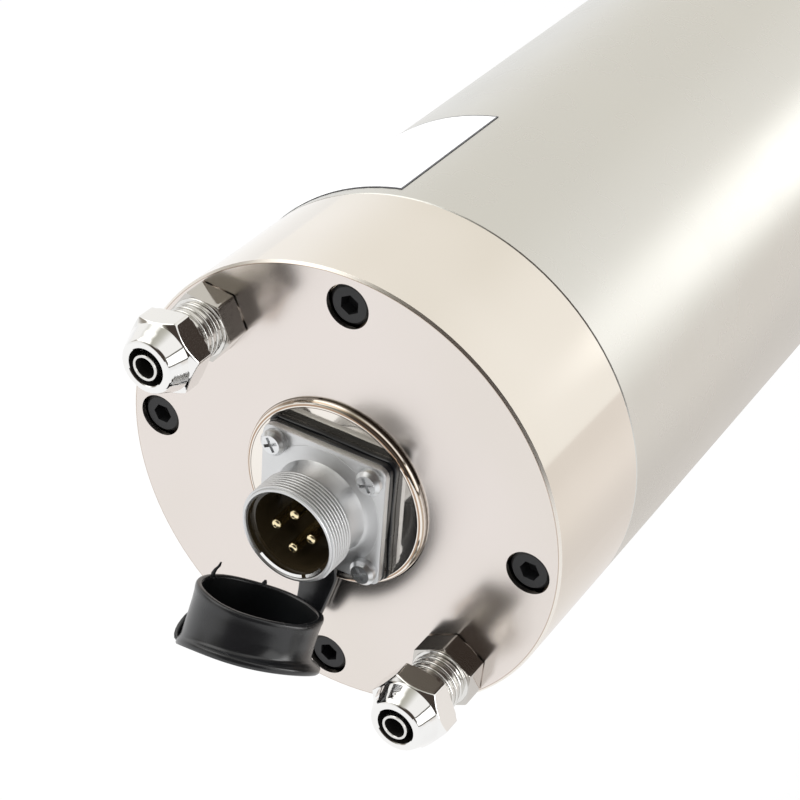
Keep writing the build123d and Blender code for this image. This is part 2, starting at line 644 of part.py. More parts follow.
def preload_spring():
    """Wave spring washer that preloads the rear pair."""
    outer = REAR_BEARING_R - SEAT_FIT
    inner = SPRING_SEAT_R + SPRING_SEAT_STEP
    washer = ring(outer, inner, SPRING_START + SPRING_HEIGHT / 2 - SPRING_WALL / 2,
                  SPRING_START + SPRING_HEIGHT / 2 + SPRING_WALL / 2)
    crest_height = (SPRING_HEIGHT - SPRING_WALL) / 2
    crest_span = 2 * pi * outer / (SPRING_WAVES * 6)
    crests = []
    for i in range(2 * SPRING_WAVES):
        side = 1 if i % 2 else -1
        crest = Pos(0, 0, side * (SPRING_WALL + crest_height) / 2) * Box(
            (outer - inner) * SPRING_PAD_WIDTH, crest_span, crest_height, align=ALL_CENTRE)
        place = Pos(0, 0, SPRING_START + SPRING_HEIGHT / 2) * at(
            (outer + inner) / 2, 180 * i / SPRING_WAVES)
        crests.append(place * crest)
    return joined([washer] + crests)


def bearing_places(start, width):
    """Middle of the two bearings of a pair that starts at z = start."""
    return [start + width / 2, start + width * 3 / 2]


def outer_rings(start, width, pitch_r, outer_r, ball_r):
    """Outer rings of a bearing pair, each with its ball track."""
    rings = []
    for z in bearing_places(start, width):
        body = bevelled_ring(outer_r, pitch_r + RACE_SHARE * ball_r, z - width / 2, z + width / 2,
                             BEARING_CHAMFER)
        rings.append(body - Pos(0, 0, z) * Torus(pitch_r, ball_r + RUNNING_FIT))
    return group(rings)


def inner_rings(start, width, pitch_r, bore_r, ball_r):
    """Inner rings of a bearing pair, each with its ball track."""
    rings = []
    for z in bearing_places(start, width):
        body = bevelled_ring(pitch_r - RACE_SHARE * ball_r, bore_r, z - width / 2, z + width / 2,
                             BEARING_CHAMFER)
        rings.append(body - Pos(0, 0, z) * Torus(pitch_r, ball_r + RUNNING_FIT))
    return group(rings)


def ball_cages(start, width, pitch_r, ball_r, count):
    """Balls of a bearing pair and the ring cages that space them."""
    pieces = []
    for z in bearing_places(start, width):
        half = CAGE_SPAN_SHARE * ball_r
        cage = ring(pitch_r + CAGE_SHARE * ball_r, pitch_r - CAGE_SHARE * ball_r, z - half, z + half)
        pocket = Rot(0, 90, 0) * Cylinder(ball_r + POCKET_GAP, 2 * ball_r)
        cage -= [Pos(0, 0, z) * place for place in around(pocket, count, pitch_r)]
        pieces.append(cage)
        pieces += [Pos(0, 0, z) * place for place in around(Sphere(ball_r), count, pitch_r)]
    return group(pieces)


def lock_nut(bore_r, outer_r, low, high):
    """Slotted ring nut that clamps the inner rings on the shaft."""
    body = bevelled_ring(outer_r, bore_r, low, high, BEARING_CHAMFER)
    notch = Box(2 * LOCK_NUT_SLOT_DEPTH, LOCK_NUT_SLOT_WIDTH, 4 * LOCK_NUT_HEIGHT)
    cuts = around(notch, LOCK_NUT_SLOTS, outer_r)
    return body - [Pos(0, 0, low) * cut for cut in cuts]


def taper_radius(z):
    """Radius of the collet seat in the shaft at z."""
    return TAPER_MOUTH_R - (z - SHAFT_NOSE) * tan(radians(TAPER_ANGLE))


def shaft():
    """Spindle shaft with bearing seats, wrench flats, nose thread and the collet taper."""
    c = EDGE_CHAMFER
    taper_end = SHAFT_NOSE + TAPER_LENGTH
    relief_end = taper_end + RELIEF_LENGTH
    body = turned([
        (0, SHAFT_REAR), (REAR_THREAD_R - c, SHAFT_REAR), (REAR_THREAD_R, SHAFT_REAR - c),
        (REAR_THREAD_R, REAR_BEARINGS_END), (REAR_BEARING_BORE_R - PRESS_GAP, REAR_BEARINGS_END),
        (REAR_BEARING_BORE_R - PRESS_GAP, REAR_BEARINGS_START), (REAR_SHOULDER_R, REAR_BEARINGS_START),
        (REAR_SHOULDER_R, STACK_END + CAGE_RING_LENGTH), (ROTOR_SEAT_R, STACK_END + CAGE_RING_LENGTH),
        (ROTOR_SEAT_R, -STACK_END - CAGE_RING_LENGTH),
        (FRONT_BEARING_BORE_R - PRESS_GAP, -STACK_END - CAGE_RING_LENGTH),
        (FRONT_BEARING_BORE_R - PRESS_GAP, DUST_RING_END), (NOSE_SHOULDER_R, DUST_RING_END),
        (NOSE_SHOULDER_R, NOSE_THREAD_START), (NOSE_THREAD_R, NOSE_THREAD_START),
        (NOSE_THREAD_R, SHAFT_NOSE + c), (NOSE_THREAD_R - c, SHAFT_NOSE),
        (TAPER_MOUTH_R, SHAFT_NOSE), (taper_radius(taper_end), taper_end), (RELIEF_R, taper_end),
        (RELIEF_R, relief_end), (0, relief_end + DRILL_POINT),
    ])
    flat_depth = NOSE_SHOULDER_R
    flat_z = FLATS_START - FLATS_LENGTH / 2
    for side in (-1, 1):
        x = side * (FLATS_ACROSS / 2 + flat_depth / 2)
        body -= Pos(x, 0, flat_z) * Box(flat_depth, 3 * NOSE_SHOULDER_R, FLATS_LENGTH)
    return body


def rotor_bar_circle():
    """Radius of the circle that the rotor bars lie on."""
    return ROTOR_R - ROTOR_BAR_DEPTH


def rotor_core():
    """Stack of rotor laminations with round slots for the bars."""
    section = Circle(ROTOR_R) - Circle(ROTOR_SEAT_R + LAMINATION_FIT)
    slot = Circle(ROTOR_BAR_R + LAMINATION_FIT)
    section -= [at(rotor_bar_circle(), 360 * i / ROTOR_BARS) * slot for i in range(ROTOR_BARS)]
    return Pos(0, 0, -STACK_END) * extrude(section, amount=STACK_LENGTH)


def rotor_cage():
    """Squirrel cage: the bars and the two end rings that join them."""
    outer = ROTOR_R - CAGE_RING_STEP
    low = STACK_END
    end_ring = ring(outer, outer - CAGE_RING_WALL, low, low + CAGE_RING_LENGTH)
    bar = rod(ROTOR_BAR_R, -STACK_END - 1, STACK_END + 1)
    return joined([end_ring, Rot(180, 0, 0) * end_ring] + around(bar, ROTOR_BARS, rotor_bar_circle()))


def front_bearing_housing():
    """Nose piece of the body: bearing seat, cover recess and spigot into tube and jacket."""
    c = EDGE_CHAMFER
    seat_r = FRONT_BEARING_R + PRESS_GAP
    hub_r = JACKET_BORE_R - SEAT_FIT
    body = turned([
        (HOUSING_SHOULDER_R, HOUSING_HUB_END), (hub_r, HOUSING_HUB_END), (hub_r, JACKET_NOSE),
        (SPIGOT_R, JACKET_NOSE), (SPIGOT_R, NOSE_SEAM), (BODY_R - c / 2, NOSE_SEAM),
        (BODY_R, NOSE_SEAM - c / 2), (BODY_R, NOSE_FACE + 2 * c), (BODY_R - 2 * c, NOSE_FACE),
        (COVER_R + SEAT_FIT, NOSE_FACE), (COVER_R + SEAT_FIT, COVER_SEAT), (seat_r, COVER_SEAT),
        (seat_r, FRONT_BEARINGS_END), (HOUSING_SHOULDER_R, FRONT_BEARINGS_END),
    ])
    screw_hole = rod(SCREW_HOLE_R, NOSE_FACE - 1, JACKET_NOSE + 1) + rod(
        COUNTERBORE_R, NOSE_FACE - 1, NOSE_FACE + COUNTERBORE_DEPTH)
    cover_hole = rod(M3_R + SEAT_FIT, COVER_SEAT - 1, COVER_SEAT + M3_LENGTH)
    body -= around(screw_hole, SCREW_COUNT, SCREW_CIRCLE_R)
    return body - around(cover_hole, SCREW_COUNT, COVER_SCREW_CIRCLE_R, 45)


def front_cover():
    """Round cover that holds the front outer rings in."""
    c = EDGE_CHAMFER
    body = turned([
        (COVER_BORE_R, COVER_SEAT), (COVER_R, COVER_SEAT), (COVER_R, NOSE_FACE + c),
        (COVER_R - c, NOSE_FACE), (COVER_BORE_R, NOSE_FACE),
    ])
    hole = rod(M3_HOLE_R, NOSE_FACE - 1, COVER_SEAT + 1) + rod(
        M3_COUNTERBORE_R, NOSE_FACE - 1, NOSE_FACE + M3_HEAD_HEIGHT + M3_SINK)
    return body - around(hole, SCREW_COUNT, COVER_SCREW_CIRCLE_R, 45)


def front_cover_screws():
    """Four M3 socket screws of the front cover."""
    seat = -NOSE_FACE - M3_HEAD_HEIGHT - M3_SINK
    screw = socket_screw(M3_R, M3_HEAD_R, M3_HEAD_HEIGHT, M3_KEY, M3_KEY_DEPTH, seat - M3_LENGTH, seat)
    return group(around(Rot(180, 0, 0) * screw, SCREW_COUNT, COVER_SCREW_CIRCLE_R, 45))


def dust_ring():
    """Labyrinth ring on the shaft, with a lip before the cover."""
    bore = FRONT_BEARING_BORE_R
    lip_back = NOSE_FACE - DUST_LIP_GAP
    return turned([
        (bore, COVER_SEAT), (DUST_RING_R, COVER_SEAT), (DUST_RING_R, lip_back), (DUST_LIP_R, lip_back),
        (DUST_LIP_R, DUST_RING_END + EDGE_CHAMFER), (DUST_LIP_R - EDGE_CHAMFER, DUST_RING_END),
        (bore, DUST_RING_END),
    ])


def collet():
    """ER20 collet with its groove, head cone, bore and two sets of slits."""
    rear = COLLET_FACE + COLLET_LENGTH
    groove = COLLET_RIM_START + COLLET_RIM
    groove_end = groove + COLLET_GROOVE_WIDTH
    body = turned([
        (COLLET_BORE_R, COLLET_FACE), (COLLET_R - COLLET_CONE_DROP, COLLET_FACE),
        (COLLET_R, COLLET_RIM_START),
        (COLLET_R, groove), (COLLET_GROOVE_R, groove), (COLLET_GROOVE_R, groove_end),
        (taper_radius(groove_end) - COLLET_FIT, groove_end), (taper_radius(rear) - COLLET_FIT, rear),
        (COLLET_BORE_R, rear),
    ])
    length = COLLET_LENGTH - COLLET_SLIT_STOP
    slit = Box(2 * COLLET_R, COLLET_SLIT_WIDTH, length, align=(Align.MIN, Align.CENTER, Align.MIN))
    for i in range(COLLET_SLITS):
        angle = COLLET_TURN + 360 * i / COLLET_SLITS
        body -= Rot(0, 0, angle) * Pos(0, 0, COLLET_FACE - 1) * slit
        body -= Rot(0, 0, angle + 180 / COLLET_SLITS) * Pos(0, 0, rear - length + 1) * slit
    return body


def collet_nut():
    """Hexagonal clamping nut, its inner lip in the collet's groove."""
    lip_low = COLLET_RIM_START + COLLET_RIM + LIP_GAP
    lip_high = lip_low + COLLET_GROOVE_WIDTH - 2 * LIP_GAP
    back = NUT_FACE + NUT_LENGTH
    bore = NOSE_THREAD_R + RUNNING_FIT
    rim_r = COLLET_R + RUNNING_FIT
    lip_r = COLLET_GROOVE_R + LIP_GAP
    face_r = rim_r - COLLET_CONE_DROP
    body = turned([
        (face_r, NUT_FACE), (NUT_FACE_R, NUT_FACE), (NUT_R, NUT_FACE + NUT_SLOPE),
        (NUT_R, back - NUT_BACK_BEVEL), (NUT_R - NUT_BACK_BEVEL, back), (bore, back), (bore, lip_high),
        (lip_r, lip_high), (lip_r, lip_low), (rim_r, lip_low), (rim_r, COLLET_RIM_START),
        (face_r, COLLET_FACE),
    ])
    hex_block = hexagon(NUT_HEX, back - NUT_HEX_LENGTH, back + 1)
    front_block = rod(NUT_R + 1, NUT_FACE - 1, back - NUT_HEX_LENGTH)
    return body & (hex_block + front_block)


def connector_gasket():
    """Two rubber layers under the flange; the lower one carries the strap."""
    half = GASKET_THICKNESS / 2
    lower = square_plate(GASKET_SIDE, FLANGE_CORNER_R, BOSS_FACE, BOSS_FACE + half)
    upper = square_plate(GASKET_SIDE - GASKET_STEP, FLANGE_CORNER_R, BOSS_FACE + half, FLANGE_BACK)
    holes = at_flange_holes(rod(FLANGE_SCREW_R + SEAT_FIT, BOSS_FACE - 1, FLANGE_BACK + 1))
    return lower + upper - ([rod(SHELL_HOLE_R, BOSS_FACE - 1, FLANGE_BACK + 1)] + holes)


def connector_shell():
    """Square flange and round shell of the connector in one piece."""
    neck_end = FLANGE_FACE + SHELL_NECK_LENGTH
    tail_end = FLANGE_BACK - SHELL_TAIL_LENGTH
    flange = square_plate(FLANGE_SIDE, FLANGE_CORNER_R, FLANGE_BACK, FLANGE_FACE)
    c = EDGE_CHAMFER
    barrel = turned([
        (0, tail_end), (SHELL_TAIL_R, tail_end), (SHELL_TAIL_R, FLANGE_BACK),
        (SHELL_NECK_R + 2 * c, FLANGE_FACE), (SHELL_NECK_R, FLANGE_FACE + 2 * c),
        (SHELL_NECK_R, neck_end), (SHELL_THREAD_R - c, neck_end), (SHELL_THREAD_R, neck_end + c),
        (SHELL_THREAD_R, SHELL_RIM - c), (SHELL_THREAD_R - c, SHELL_RIM), (0, SHELL_RIM),
    ])
    holes = at_flange_holes(rod(FLANGE_SCREW_R + SEAT_FIT, FLANGE_BACK - 1, FLANGE_FACE + 1))
    return flange + barrel - ([rod(SHELL_BORE_R, tail_end - 1, SHELL_RIM + 1)] + holes)


def connector_insulator():
    """Moulded insert that holds the pins."""
    body = rod(SHELL_BORE_R - SEAT_FIT, INSERT_FACE - INSERT_LENGTH, INSERT_FACE)
    return body - around(rod(PIN_R + SEAT_FIT, PIN_TAIL - 1, PIN_TIP), PIN_COUNT, PIN_CIRCLE_R)


def connector_pins():
    """Contact pins with rounded tips."""
    pin = turned([
        (0, PIN_TAIL), (PIN_R, PIN_TAIL), (PIN_R, PIN_TIP - PIN_NOSE), (PIN_BROW_R, PIN_TIP - PIN_NOSE / 4),
        (PIN_TIP_R, PIN_TIP), (0, PIN_TIP),
    ])
    return group(around(pin, PIN_COUNT, PIN_CIRCLE_R))


def connector_lock_washers():
    """Spring washers under the flange screws."""
    washer = ring(WASHER_R, FLANGE_SCREW_R + SEAT_FIT, FLANGE_FACE, FLANGE_FACE + WASHER_THICKNESS)
    return group(at_flange_holes(washer))


def connector_screws():
    """Pan head screws of the flange, with a cross recess."""
    seat = FLANGE_FACE + WASHER_THICKNESS
    top = seat + FLANGE_SCREW_HEAD_HEIGHT
    tip = FLANGE_FACE - FLANGE_SCREW_LENGTH
    body = turned([
        (0, tip), (FLANGE_SCREW_R, tip), (FLANGE_SCREW_R, seat), (FLANGE_SCREW_HEAD_R, seat),
        (FLANGE_SCREW_HEAD_R, top - PAN_BEVEL), (FLANGE_SCREW_HEAD_R - PAN_BEVEL, top), (0, top),
    ])
    for turn in (RECESS_TURN, RECESS_TURN + 90):
        arm = Box(RECESS_LENGTH, RECESS_WIDTH, 2 * RECESS_DEPTH)
        body -= Rot(0, 0, turn) * Pos(0, 0, top) * arm
    return group(at_flange_holes(body))


def hose_fitting(angle, hex_turn):
    """Screwed hose fitting: tail in the cap, hex, nut thread and hose barb."""
    tail, hex_top = REAR_FACE - FITTING_TAIL_LENGTH, REAR_FACE + FITTING_HEX_HEIGHT
    thread_end, barb_end = REAR_FACE + FITTING_THREAD_END, REAR_FACE + BARB_END
    neck_r, c = BARB_R - BARB_NECK, EDGE_CHAMFER
    body = turned([
        (0, tail), (FITTING_TAIL_R - c, tail), (FITTING_TAIL_R, tail + c), (FITTING_TAIL_R, hex_top),
        (FITTING_THREAD_R, hex_top), (FITTING_THREAD_R, thread_end - c), (FITTING_THREAD_R - c, thread_end),
        (BARB_R + BARB_NECK_CONE, thread_end), (neck_r, thread_end + BARB_NECK_CONE),
        (neck_r, REAR_FACE + BARB_SHOULDER), (BARB_R, REAR_FACE + BARB_SHOULDER), (BARB_R, barb_end - c),
        (BARB_R - c / 2, barb_end), (0, barb_end),
    ])
    body += hexagon(FITTING_HEX, REAR_FACE, hex_top, hex_turn)
    body -= rod(FITTING_BORE_R, tail - 1, barb_end + 1)
    return at(PORT_CIRCLE_R, angle) * Rot(0, 0, -angle) * body


def hose_nut(angle, hex_turn):
    """Clamping nut of a hose fitting: short hex, then a cone down to the hose opening."""
    low = REAR_FACE + NUT_START
    hex_top = low + HOSE_NUT_HEX_HEIGHT
    high = low + HOSE_NUT_LENGTH
    thread_top = low + HOSE_NUT_THREAD_LENGTH
    bore = FITTING_THREAD_R + RUNNING_FIT
    corner_r, flank_r, bevel = HOSE_NUT_CORNER_R, HOSE_NUT_CORNER_R - NUT_EDGE_STEP, NUT_NOSE_BEVEL
    body = turned([
        (bore, low), (flank_r, low), (corner_r, low + NUT_EDGE), (corner_r, hex_top - NUT_EDGE),
        (flank_r, hex_top), (HOSE_NUT_NOSE_R, high - bevel), (HOSE_NUT_NOSE_R - bevel, high),
        (HOSE_OPENING_R, high), (HOSE_OPENING_R, thread_top + NUT_BORE_CONE), (bore, thread_top),
    ])
    body &= hexagon(HOSE_NUT_HEX, low - 1, high + 1, hex_turn)
    return at(PORT_CIRCLE_R, angle) * Rot(0, 0, -angle) * body


def cup_frame():
    """Frame at the middle of the cup's rim, with Z out of the open mouth."""
    lean = radians(CUP_LEAN)
    return Plane(
        origin=(-CUP_SIDE, -CUP_DROP, REAR_FACE + CUP_REACH), x_dir=(1, 0, 0),
        z_dir=(0, cos(lean), -sin(lean)),
    ).location


def dust_cap():
    """Rubber cup with a base flange and a pull tab."""
    base_top = -CUP_HEIGHT
    base_low = base_top - CUP_BASE_THICKNESS
    wall_r, e = CUP_BORE_R + CUP_WALL, CUP_EDGE
    body = turned([
        (0, base_low), (CUP_BASE_R - e, base_low), (CUP_BASE_R, base_low + e), (CUP_BASE_R, base_top),
        (wall_r, base_top), (wall_r, -2 * CUP_LIP), (CUP_RIM_R, -CUP_LIP), (CUP_RIM_R, -e),
        (CUP_RIM_R - e, 0), (CUP_BORE_R, 0), (CUP_BORE_R, base_top), (0, base_top),
    ])
    tab = Pos(-CUP_BASE_R + TAB_ROOT, 0, base_low) * extrude(
        RectangleRounded(2 * (TAB_REACH + TAB_ROOT), TAB_WIDTH, TAB_CORNER_R), amount=CUP_BASE_THICKNESS)
    return cup_frame() * (body + tab)


def strap_line():
    """Middle line of the strap, seen from the side, as (height, z) points."""
    lean = radians(CUP_LEAN)
    knuckle = RUBBER_GAP + STRAP_THICKNESS / 2
    end_z = REAR_FACE + CUP_STANDOFF
    end_height = -CUP_DROP - CUP_MIDDLE * cos(lean) - CUP_SWING_R * sin(lean)
    top_z = REAR_FACE + STRAP_STANDOFF
    corner_height = end_height - (end_z - top_z) * tan(lean)
    return (-GASKET_SIDE / 2 - knuckle, top_z), (corner_height, top_z), (end_height, end_z)


def cap_strap():
    """Rubber strap from the gasket's lower edge round to the cup's base, both ends rounded."""
    points = [(-STRAP_SIDE, height, z) for height, z in strap_line()]
    path = FilletPolyline(*points, radius=STRAP_BEND_R)
    start = Plane(origin=points[0], x_dir=(1, 0, 0), z_dir=(0, -1, 0))
    strip = sweep(start * Rectangle(STRAP_WIDTH, STRAP_THICKNESS), path=path)
    knuckle = Rot(0, 90, 0) * Cylinder(STRAP_THICKNESS / 2, STRAP_WIDTH)
    return joined([strip, Pos(*points[0]) * knuckle, Pos(*points[-1]) * knuckle])


def build_nodes():
    """All pieces by node name, still in the bench frame."""
    front_pitch = (FRONT_BEARING_BORE_R + FRONT_BEARING_R) / 2
    rear_pitch = (REAR_BEARING_BORE_R + REAR_BEARING_R) / 2
    front = (COVER_SEAT, FRONT_BEARING_WIDTH, front_pitch)
    rear = (REAR_BEARINGS_START, REAR_BEARING_WIDTH, rear_pitch)
    front_nut_low = FRONT_BEARINGS_END + SEAT_FIT
    rear_nut_low = REAR_BEARINGS_END + SEAT_FIT
    return {
        "outer_tube": outer_tube(),
        "nameplate": nameplate(),
        "rear_cap": rear_cap(),
        "rear_cap_screws": end_screws(REAR_FACE, 1),
        "port_o_rings": port_o_rings(),
        "water_jacket": water_jacket(),
        "jacket_o_rings": jacket_o_rings(),
        "stator_core": stator_core(),
        "stator_windings": stator_windings(),
        "lead_wires": lead_wires(),
        "rear_bearing_housing": rear_bearing_housing(),
        "preload_spring": preload_spring(),
        "rear_bearing_outer_rings": outer_rings(*rear, REAR_BEARING_R, REAR_BALL_R),
        "rear_bearing_inner_rings": inner_rings(*rear, REAR_BEARING_BORE_R, REAR_BALL_R),
        "rear_ball_cages": ball_cages(*rear, REAR_BALL_R, REAR_BALLS),
        "rear_lock_nut": lock_nut(REAR_THREAD_R + SEAT_FIT, REAR_LOCK_NUT_R, rear_nut_low,
                                  rear_nut_low + LOCK_NUT_HEIGHT),
        "shaft": shaft(),
        "rotor_core": rotor_core(),
        "rotor_cage": rotor_cage(),
        "front_bearing_housing": front_bearing_housing(),
        "front_housing_screws": end_screws(NOSE_FACE, -1),
        "front_bearing_outer_rings": outer_rings(*front, FRONT_BEARING_R, FRONT_BALL_R),
        "front_bearing_inner_rings": inner_rings(*front, FRONT_BEARING_BORE_R, FRONT_BALL_R),
        "front_ball_cages": ball_cages(*front, FRONT_BALL_R, FRONT_BALLS),
        "front_lock_nut": lock_nut(FRONT_BEARING_BORE_R, FRONT_LOCK_NUT_R, front_nut_low,
                                   front_nut_low + LOCK_NUT_HEIGHT),
        "front_cover": front_cover(),
        "front_cover_screws": front_cover_screws(),
        "dust_ring": dust_ring(),
        "collet": collet(),
        "collet_nut": collet_nut(),
        "connector_gasket": connector_gasket(),
        "connector_shell": connector_shell(),
        "connector_insulator": connector_insulator(),
        "connector_pins": connector_pins(),
        "connector_lock_washers": connector_lock_washers(),
        "connector_screws": connector_screws(),
        "dust_cap": dust_cap(),
        "cap_strap": cap_strap(),
        "inlet_fitting": hose_fitting(INLET_ANGLE, INLET_HEX_TURN),
        "inlet_nut": hose_nut(INLET_ANGLE, INLET_NUT_TURN),
        "outlet_fitting": hose_fitting(OUTLET_ANGLE, OUTLET_HEX_TURN),
        "outlet_nut": hose_nut(OUTLET_ANGLE, OUTLET_NUT_TURN),
    }


def lie_down(shape):
    """Bench frame to the object's frame: rear end to +Y, the bench's up to +Z."""
    return Plane(origin=(0, 0, 0), x_dir=(-1, 0, 0), z_dir=(0, 1, 0)).location * shape


os.makedirs("parts", exist_ok=True)
for node, shape in build_nodes().items():
    export_step(lie_down(shape), f"parts/{node}.step")
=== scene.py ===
# %% [markdown]
# # A water-cooled motor spindle, seen from its rear end
# The object is a ground steel tube with a polished cap at the rear. On the cap sit two hose
# fittings, a four-pin connector on a square flange, and a rubber dust cap that hangs on its strap.
# The imported solids are the fixed frame: this lesson loads them, gives each one a finish, and
# builds the pieces whose looks need more than the solids hold, such as threads and soft rubber.

# %% Load the frame
import json
import math

import bmesh
import bpy
from mathutils import Matrix, Vector, noise


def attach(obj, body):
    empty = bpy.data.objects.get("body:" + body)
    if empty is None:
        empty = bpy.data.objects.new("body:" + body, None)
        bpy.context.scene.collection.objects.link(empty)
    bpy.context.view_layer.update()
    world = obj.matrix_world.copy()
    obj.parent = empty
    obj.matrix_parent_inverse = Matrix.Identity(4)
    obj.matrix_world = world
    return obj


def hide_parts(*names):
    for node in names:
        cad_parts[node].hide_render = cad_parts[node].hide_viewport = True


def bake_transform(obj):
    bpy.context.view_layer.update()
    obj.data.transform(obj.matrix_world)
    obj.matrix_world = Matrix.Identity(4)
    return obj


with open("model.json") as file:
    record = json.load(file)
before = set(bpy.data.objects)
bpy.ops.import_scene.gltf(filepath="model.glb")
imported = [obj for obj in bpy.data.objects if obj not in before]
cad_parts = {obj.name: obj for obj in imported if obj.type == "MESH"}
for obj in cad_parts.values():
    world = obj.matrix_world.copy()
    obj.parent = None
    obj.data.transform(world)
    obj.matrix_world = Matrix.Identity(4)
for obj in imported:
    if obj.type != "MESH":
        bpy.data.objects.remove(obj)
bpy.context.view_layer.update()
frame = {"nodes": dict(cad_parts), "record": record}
nodes = frame["nodes"]
MM = 0.001

# %% [markdown]
# ## The camera
# The photograph looks down at the rear cap from the left, with a long lens. The camera's place
# comes from circles whose true sizes are known: the cap's rim, the boss and the screw holes were
# fitted as ellipses. Its three axes are written as columns of a matrix, and the lens follows from
# the focal length in pixels.

# %% Camera
FOCAL_PIXELS, PICTURE_PIXELS = 2083.85, 800.0
CAMERA_PLACE = Vector((-134.108, 330.891, 201.248))     # in mm
camera_data = bpy.data.cameras.new("photo_camera")
camera_data.sensor_width = 36.0
camera_data.lens = FOCAL_PIXELS / PICTURE_PIXELS * camera_data.sensor_width
camera = bpy.data.objects.new("photo_camera", camera_data)
bpy.context.scene.collection.objects.link(camera)
look = Vector((0.39556, -0.71826, -0.5724)).normalized()
up = Vector((0.34402, -0.46198, 0.81745))
up = (up - up.dot(look) * look).normalized()
right = look.cross(up)
camera_axes = Matrix((right, up, -look)).transposed().to_4x4()
camera.matrix_world = Matrix.Translation(CAMERA_PLACE * MM) @ camera_axes
camera_data.clip_start, camera_data.clip_end = 0.01, 50.0
bpy.context.scene.camera = camera
print("lens in mm:", round(camera_data.lens, 1))

# %% [markdown]
# ## Light, floor and background
# Polished steel shows the room more than itself. The photograph's metal says what stood round it:
# a white table in front and below, a pale backdrop behind, and a dim warm room behind the camera.
# That room is the reason for the brown facets. The copper lines along the rear cap's edges are
# painted into the cap's colour instead, as painted reflections of that room. So the world
# is white where the camera looks at it, and for reflections it is painted by direction: pale all
# round, grey above, dim and brown towards the camera's side, with a large soft lamp high on the
# left, a strip light behind the tube and one crisp window on the right.

# %% Node helpers for colours and directions
def eased(tree, value, low, high):
    """0 below low, 1 above high, soft in between; low may be the larger one."""
    ramp = tree.nodes.new("ShaderNodeMapRange")
    ramp.interpolation_type = "SMOOTHSTEP"
    ramp.inputs["From Min"].default_value, ramp.inputs["From Max"].default_value = low, high
    tree.links.new(value, ramp.inputs["Value"])
    return ramp.outputs["Result"]


def math_node(tree, operation, *values):
    """Math node whose inputs may be sockets or numbers."""
    node = tree.nodes.new("ShaderNodeMath")
    node.operation = operation
    for socket, value in zip(node.inputs, values):
        if isinstance(value, bpy.types.NodeSocket):
            tree.links.new(value, socket)
        else:
            socket.default_value = value
    return node.outputs[0]


def along(tree, direction):
    """How far the looked-at direction agrees with another one, from -1 to 1."""
    coordinates = tree.nodes.new("ShaderNodeTexCoord")
    dot = tree.nodes.new("ShaderNodeVectorMath")
    dot.operation = "DOT_PRODUCT"
    dot.inputs[1].default_value = Vector(direction).normalized()
    tree.links.new(coordinates.outputs["Generated"], dot.inputs[0])
    return dot.outputs["Value"]


def soft_patch(tree, direction, inner_deg, outer_deg):
    """1 inside a cone about a direction of the world, 0 outside, soft in between."""
    return eased(tree, along(tree, direction), math.cos(math.radians(outer_deg)),
                 math.cos(math.radians(inner_deg)))


def window(tree, direction, half_width_deg, half_height_deg, edge_deg=1.5):
    """1 inside an upright window in a direction of the world, with crisp edges."""
    middle = Vector(direction).normalized()
    side = middle.cross(Vector((0, 0, 1))).normalized()
    factor = eased(tree, along(tree, middle), 0.0, 0.05)
    for axis, half in ((side, half_width_deg), (side.cross(middle), half_height_deg)):
        away = math_node(tree, "ABSOLUTE", along(tree, axis))
        inside = eased(tree, away, math.sin(math.radians(half + edge_deg)), math.sin(math.radians(half)))
        factor = math_node(tree, "MULTIPLY", factor, inside)
    return factor


def mixed(tree, factor, first, second):
    """Colour mix whose inputs may be sockets or plain colours."""
    mix = tree.nodes.new("ShaderNodeMix")
    mix.data_type = "RGBA"
    for socket, value in zip((mix.inputs[0], mix.inputs[6], mix.inputs[7]), (factor, first, second)):
        if isinstance(value, bpy.types.NodeSocket):
            tree.links.new(value, socket)
        else:
            socket.default_value = value if socket is mix.inputs[0] else (*value, 1.0)
    return mix.outputs[2]


# %% The room's colours by direction
WHITE = (1.0, 1.0, 1.0)
AMBIENT = (0.62, 0.62, 0.62)
ROOM_PALE = (1.0, 0.99, 0.97)
ROOM_PATCHES = [                       # direction, inner and outer angle, colour
    ((-0.10, -0.80, 0.55), 30, 55, (0.91, 0.885, 0.83)),      # wall behind the object
    ((-0.50, -0.80, 0.20), 15, 42, (1.01, 0.99, 0.95)),       # its brighter part on the right
    ((-0.42, -0.89, 0.17), 4, 14, (2.0, 2.0, 1.97)),          # strip light behind the tube
    ((0.42, 0.10, 0.90), 10, 46, (0.50, 0.49, 0.43)),         # ceiling
    ((0.30, 0.72, 0.62), 14, 36, (0.26, 0.25, 0.21)),         # wall behind the camera, left
    ((0.90, 0.30, 0.30), 8, 22, (0.34, 0.31, 0.27)),          # door on the left
    ((0.64, 0.20, 0.74), 14, 30, (1.9, 1.88, 1.82)),          # large soft lamp on the left
    ((-0.35, 0.85, 0.38), 35, 47, (0.060, 0.047, 0.039)),     # dim brown room behind the camera
    ((-0.80, 0.60, 0.0), 18, 30, (0.050, 0.041, 0.035)),      # its darkest corner, low on the right
]
WINDOW_TOWARDS = (-0.95, 0.10, 0.28)
WINDOW_PARTS = [                       # half width and height in degrees, colour
    (21, 17, (0.16, 0.15, 0.13)),      # dark frame
    (17, 13, (1.5, 1.5, 1.48)),        # bright pane
]
print("patches in the room:", len(ROOM_PATCHES))

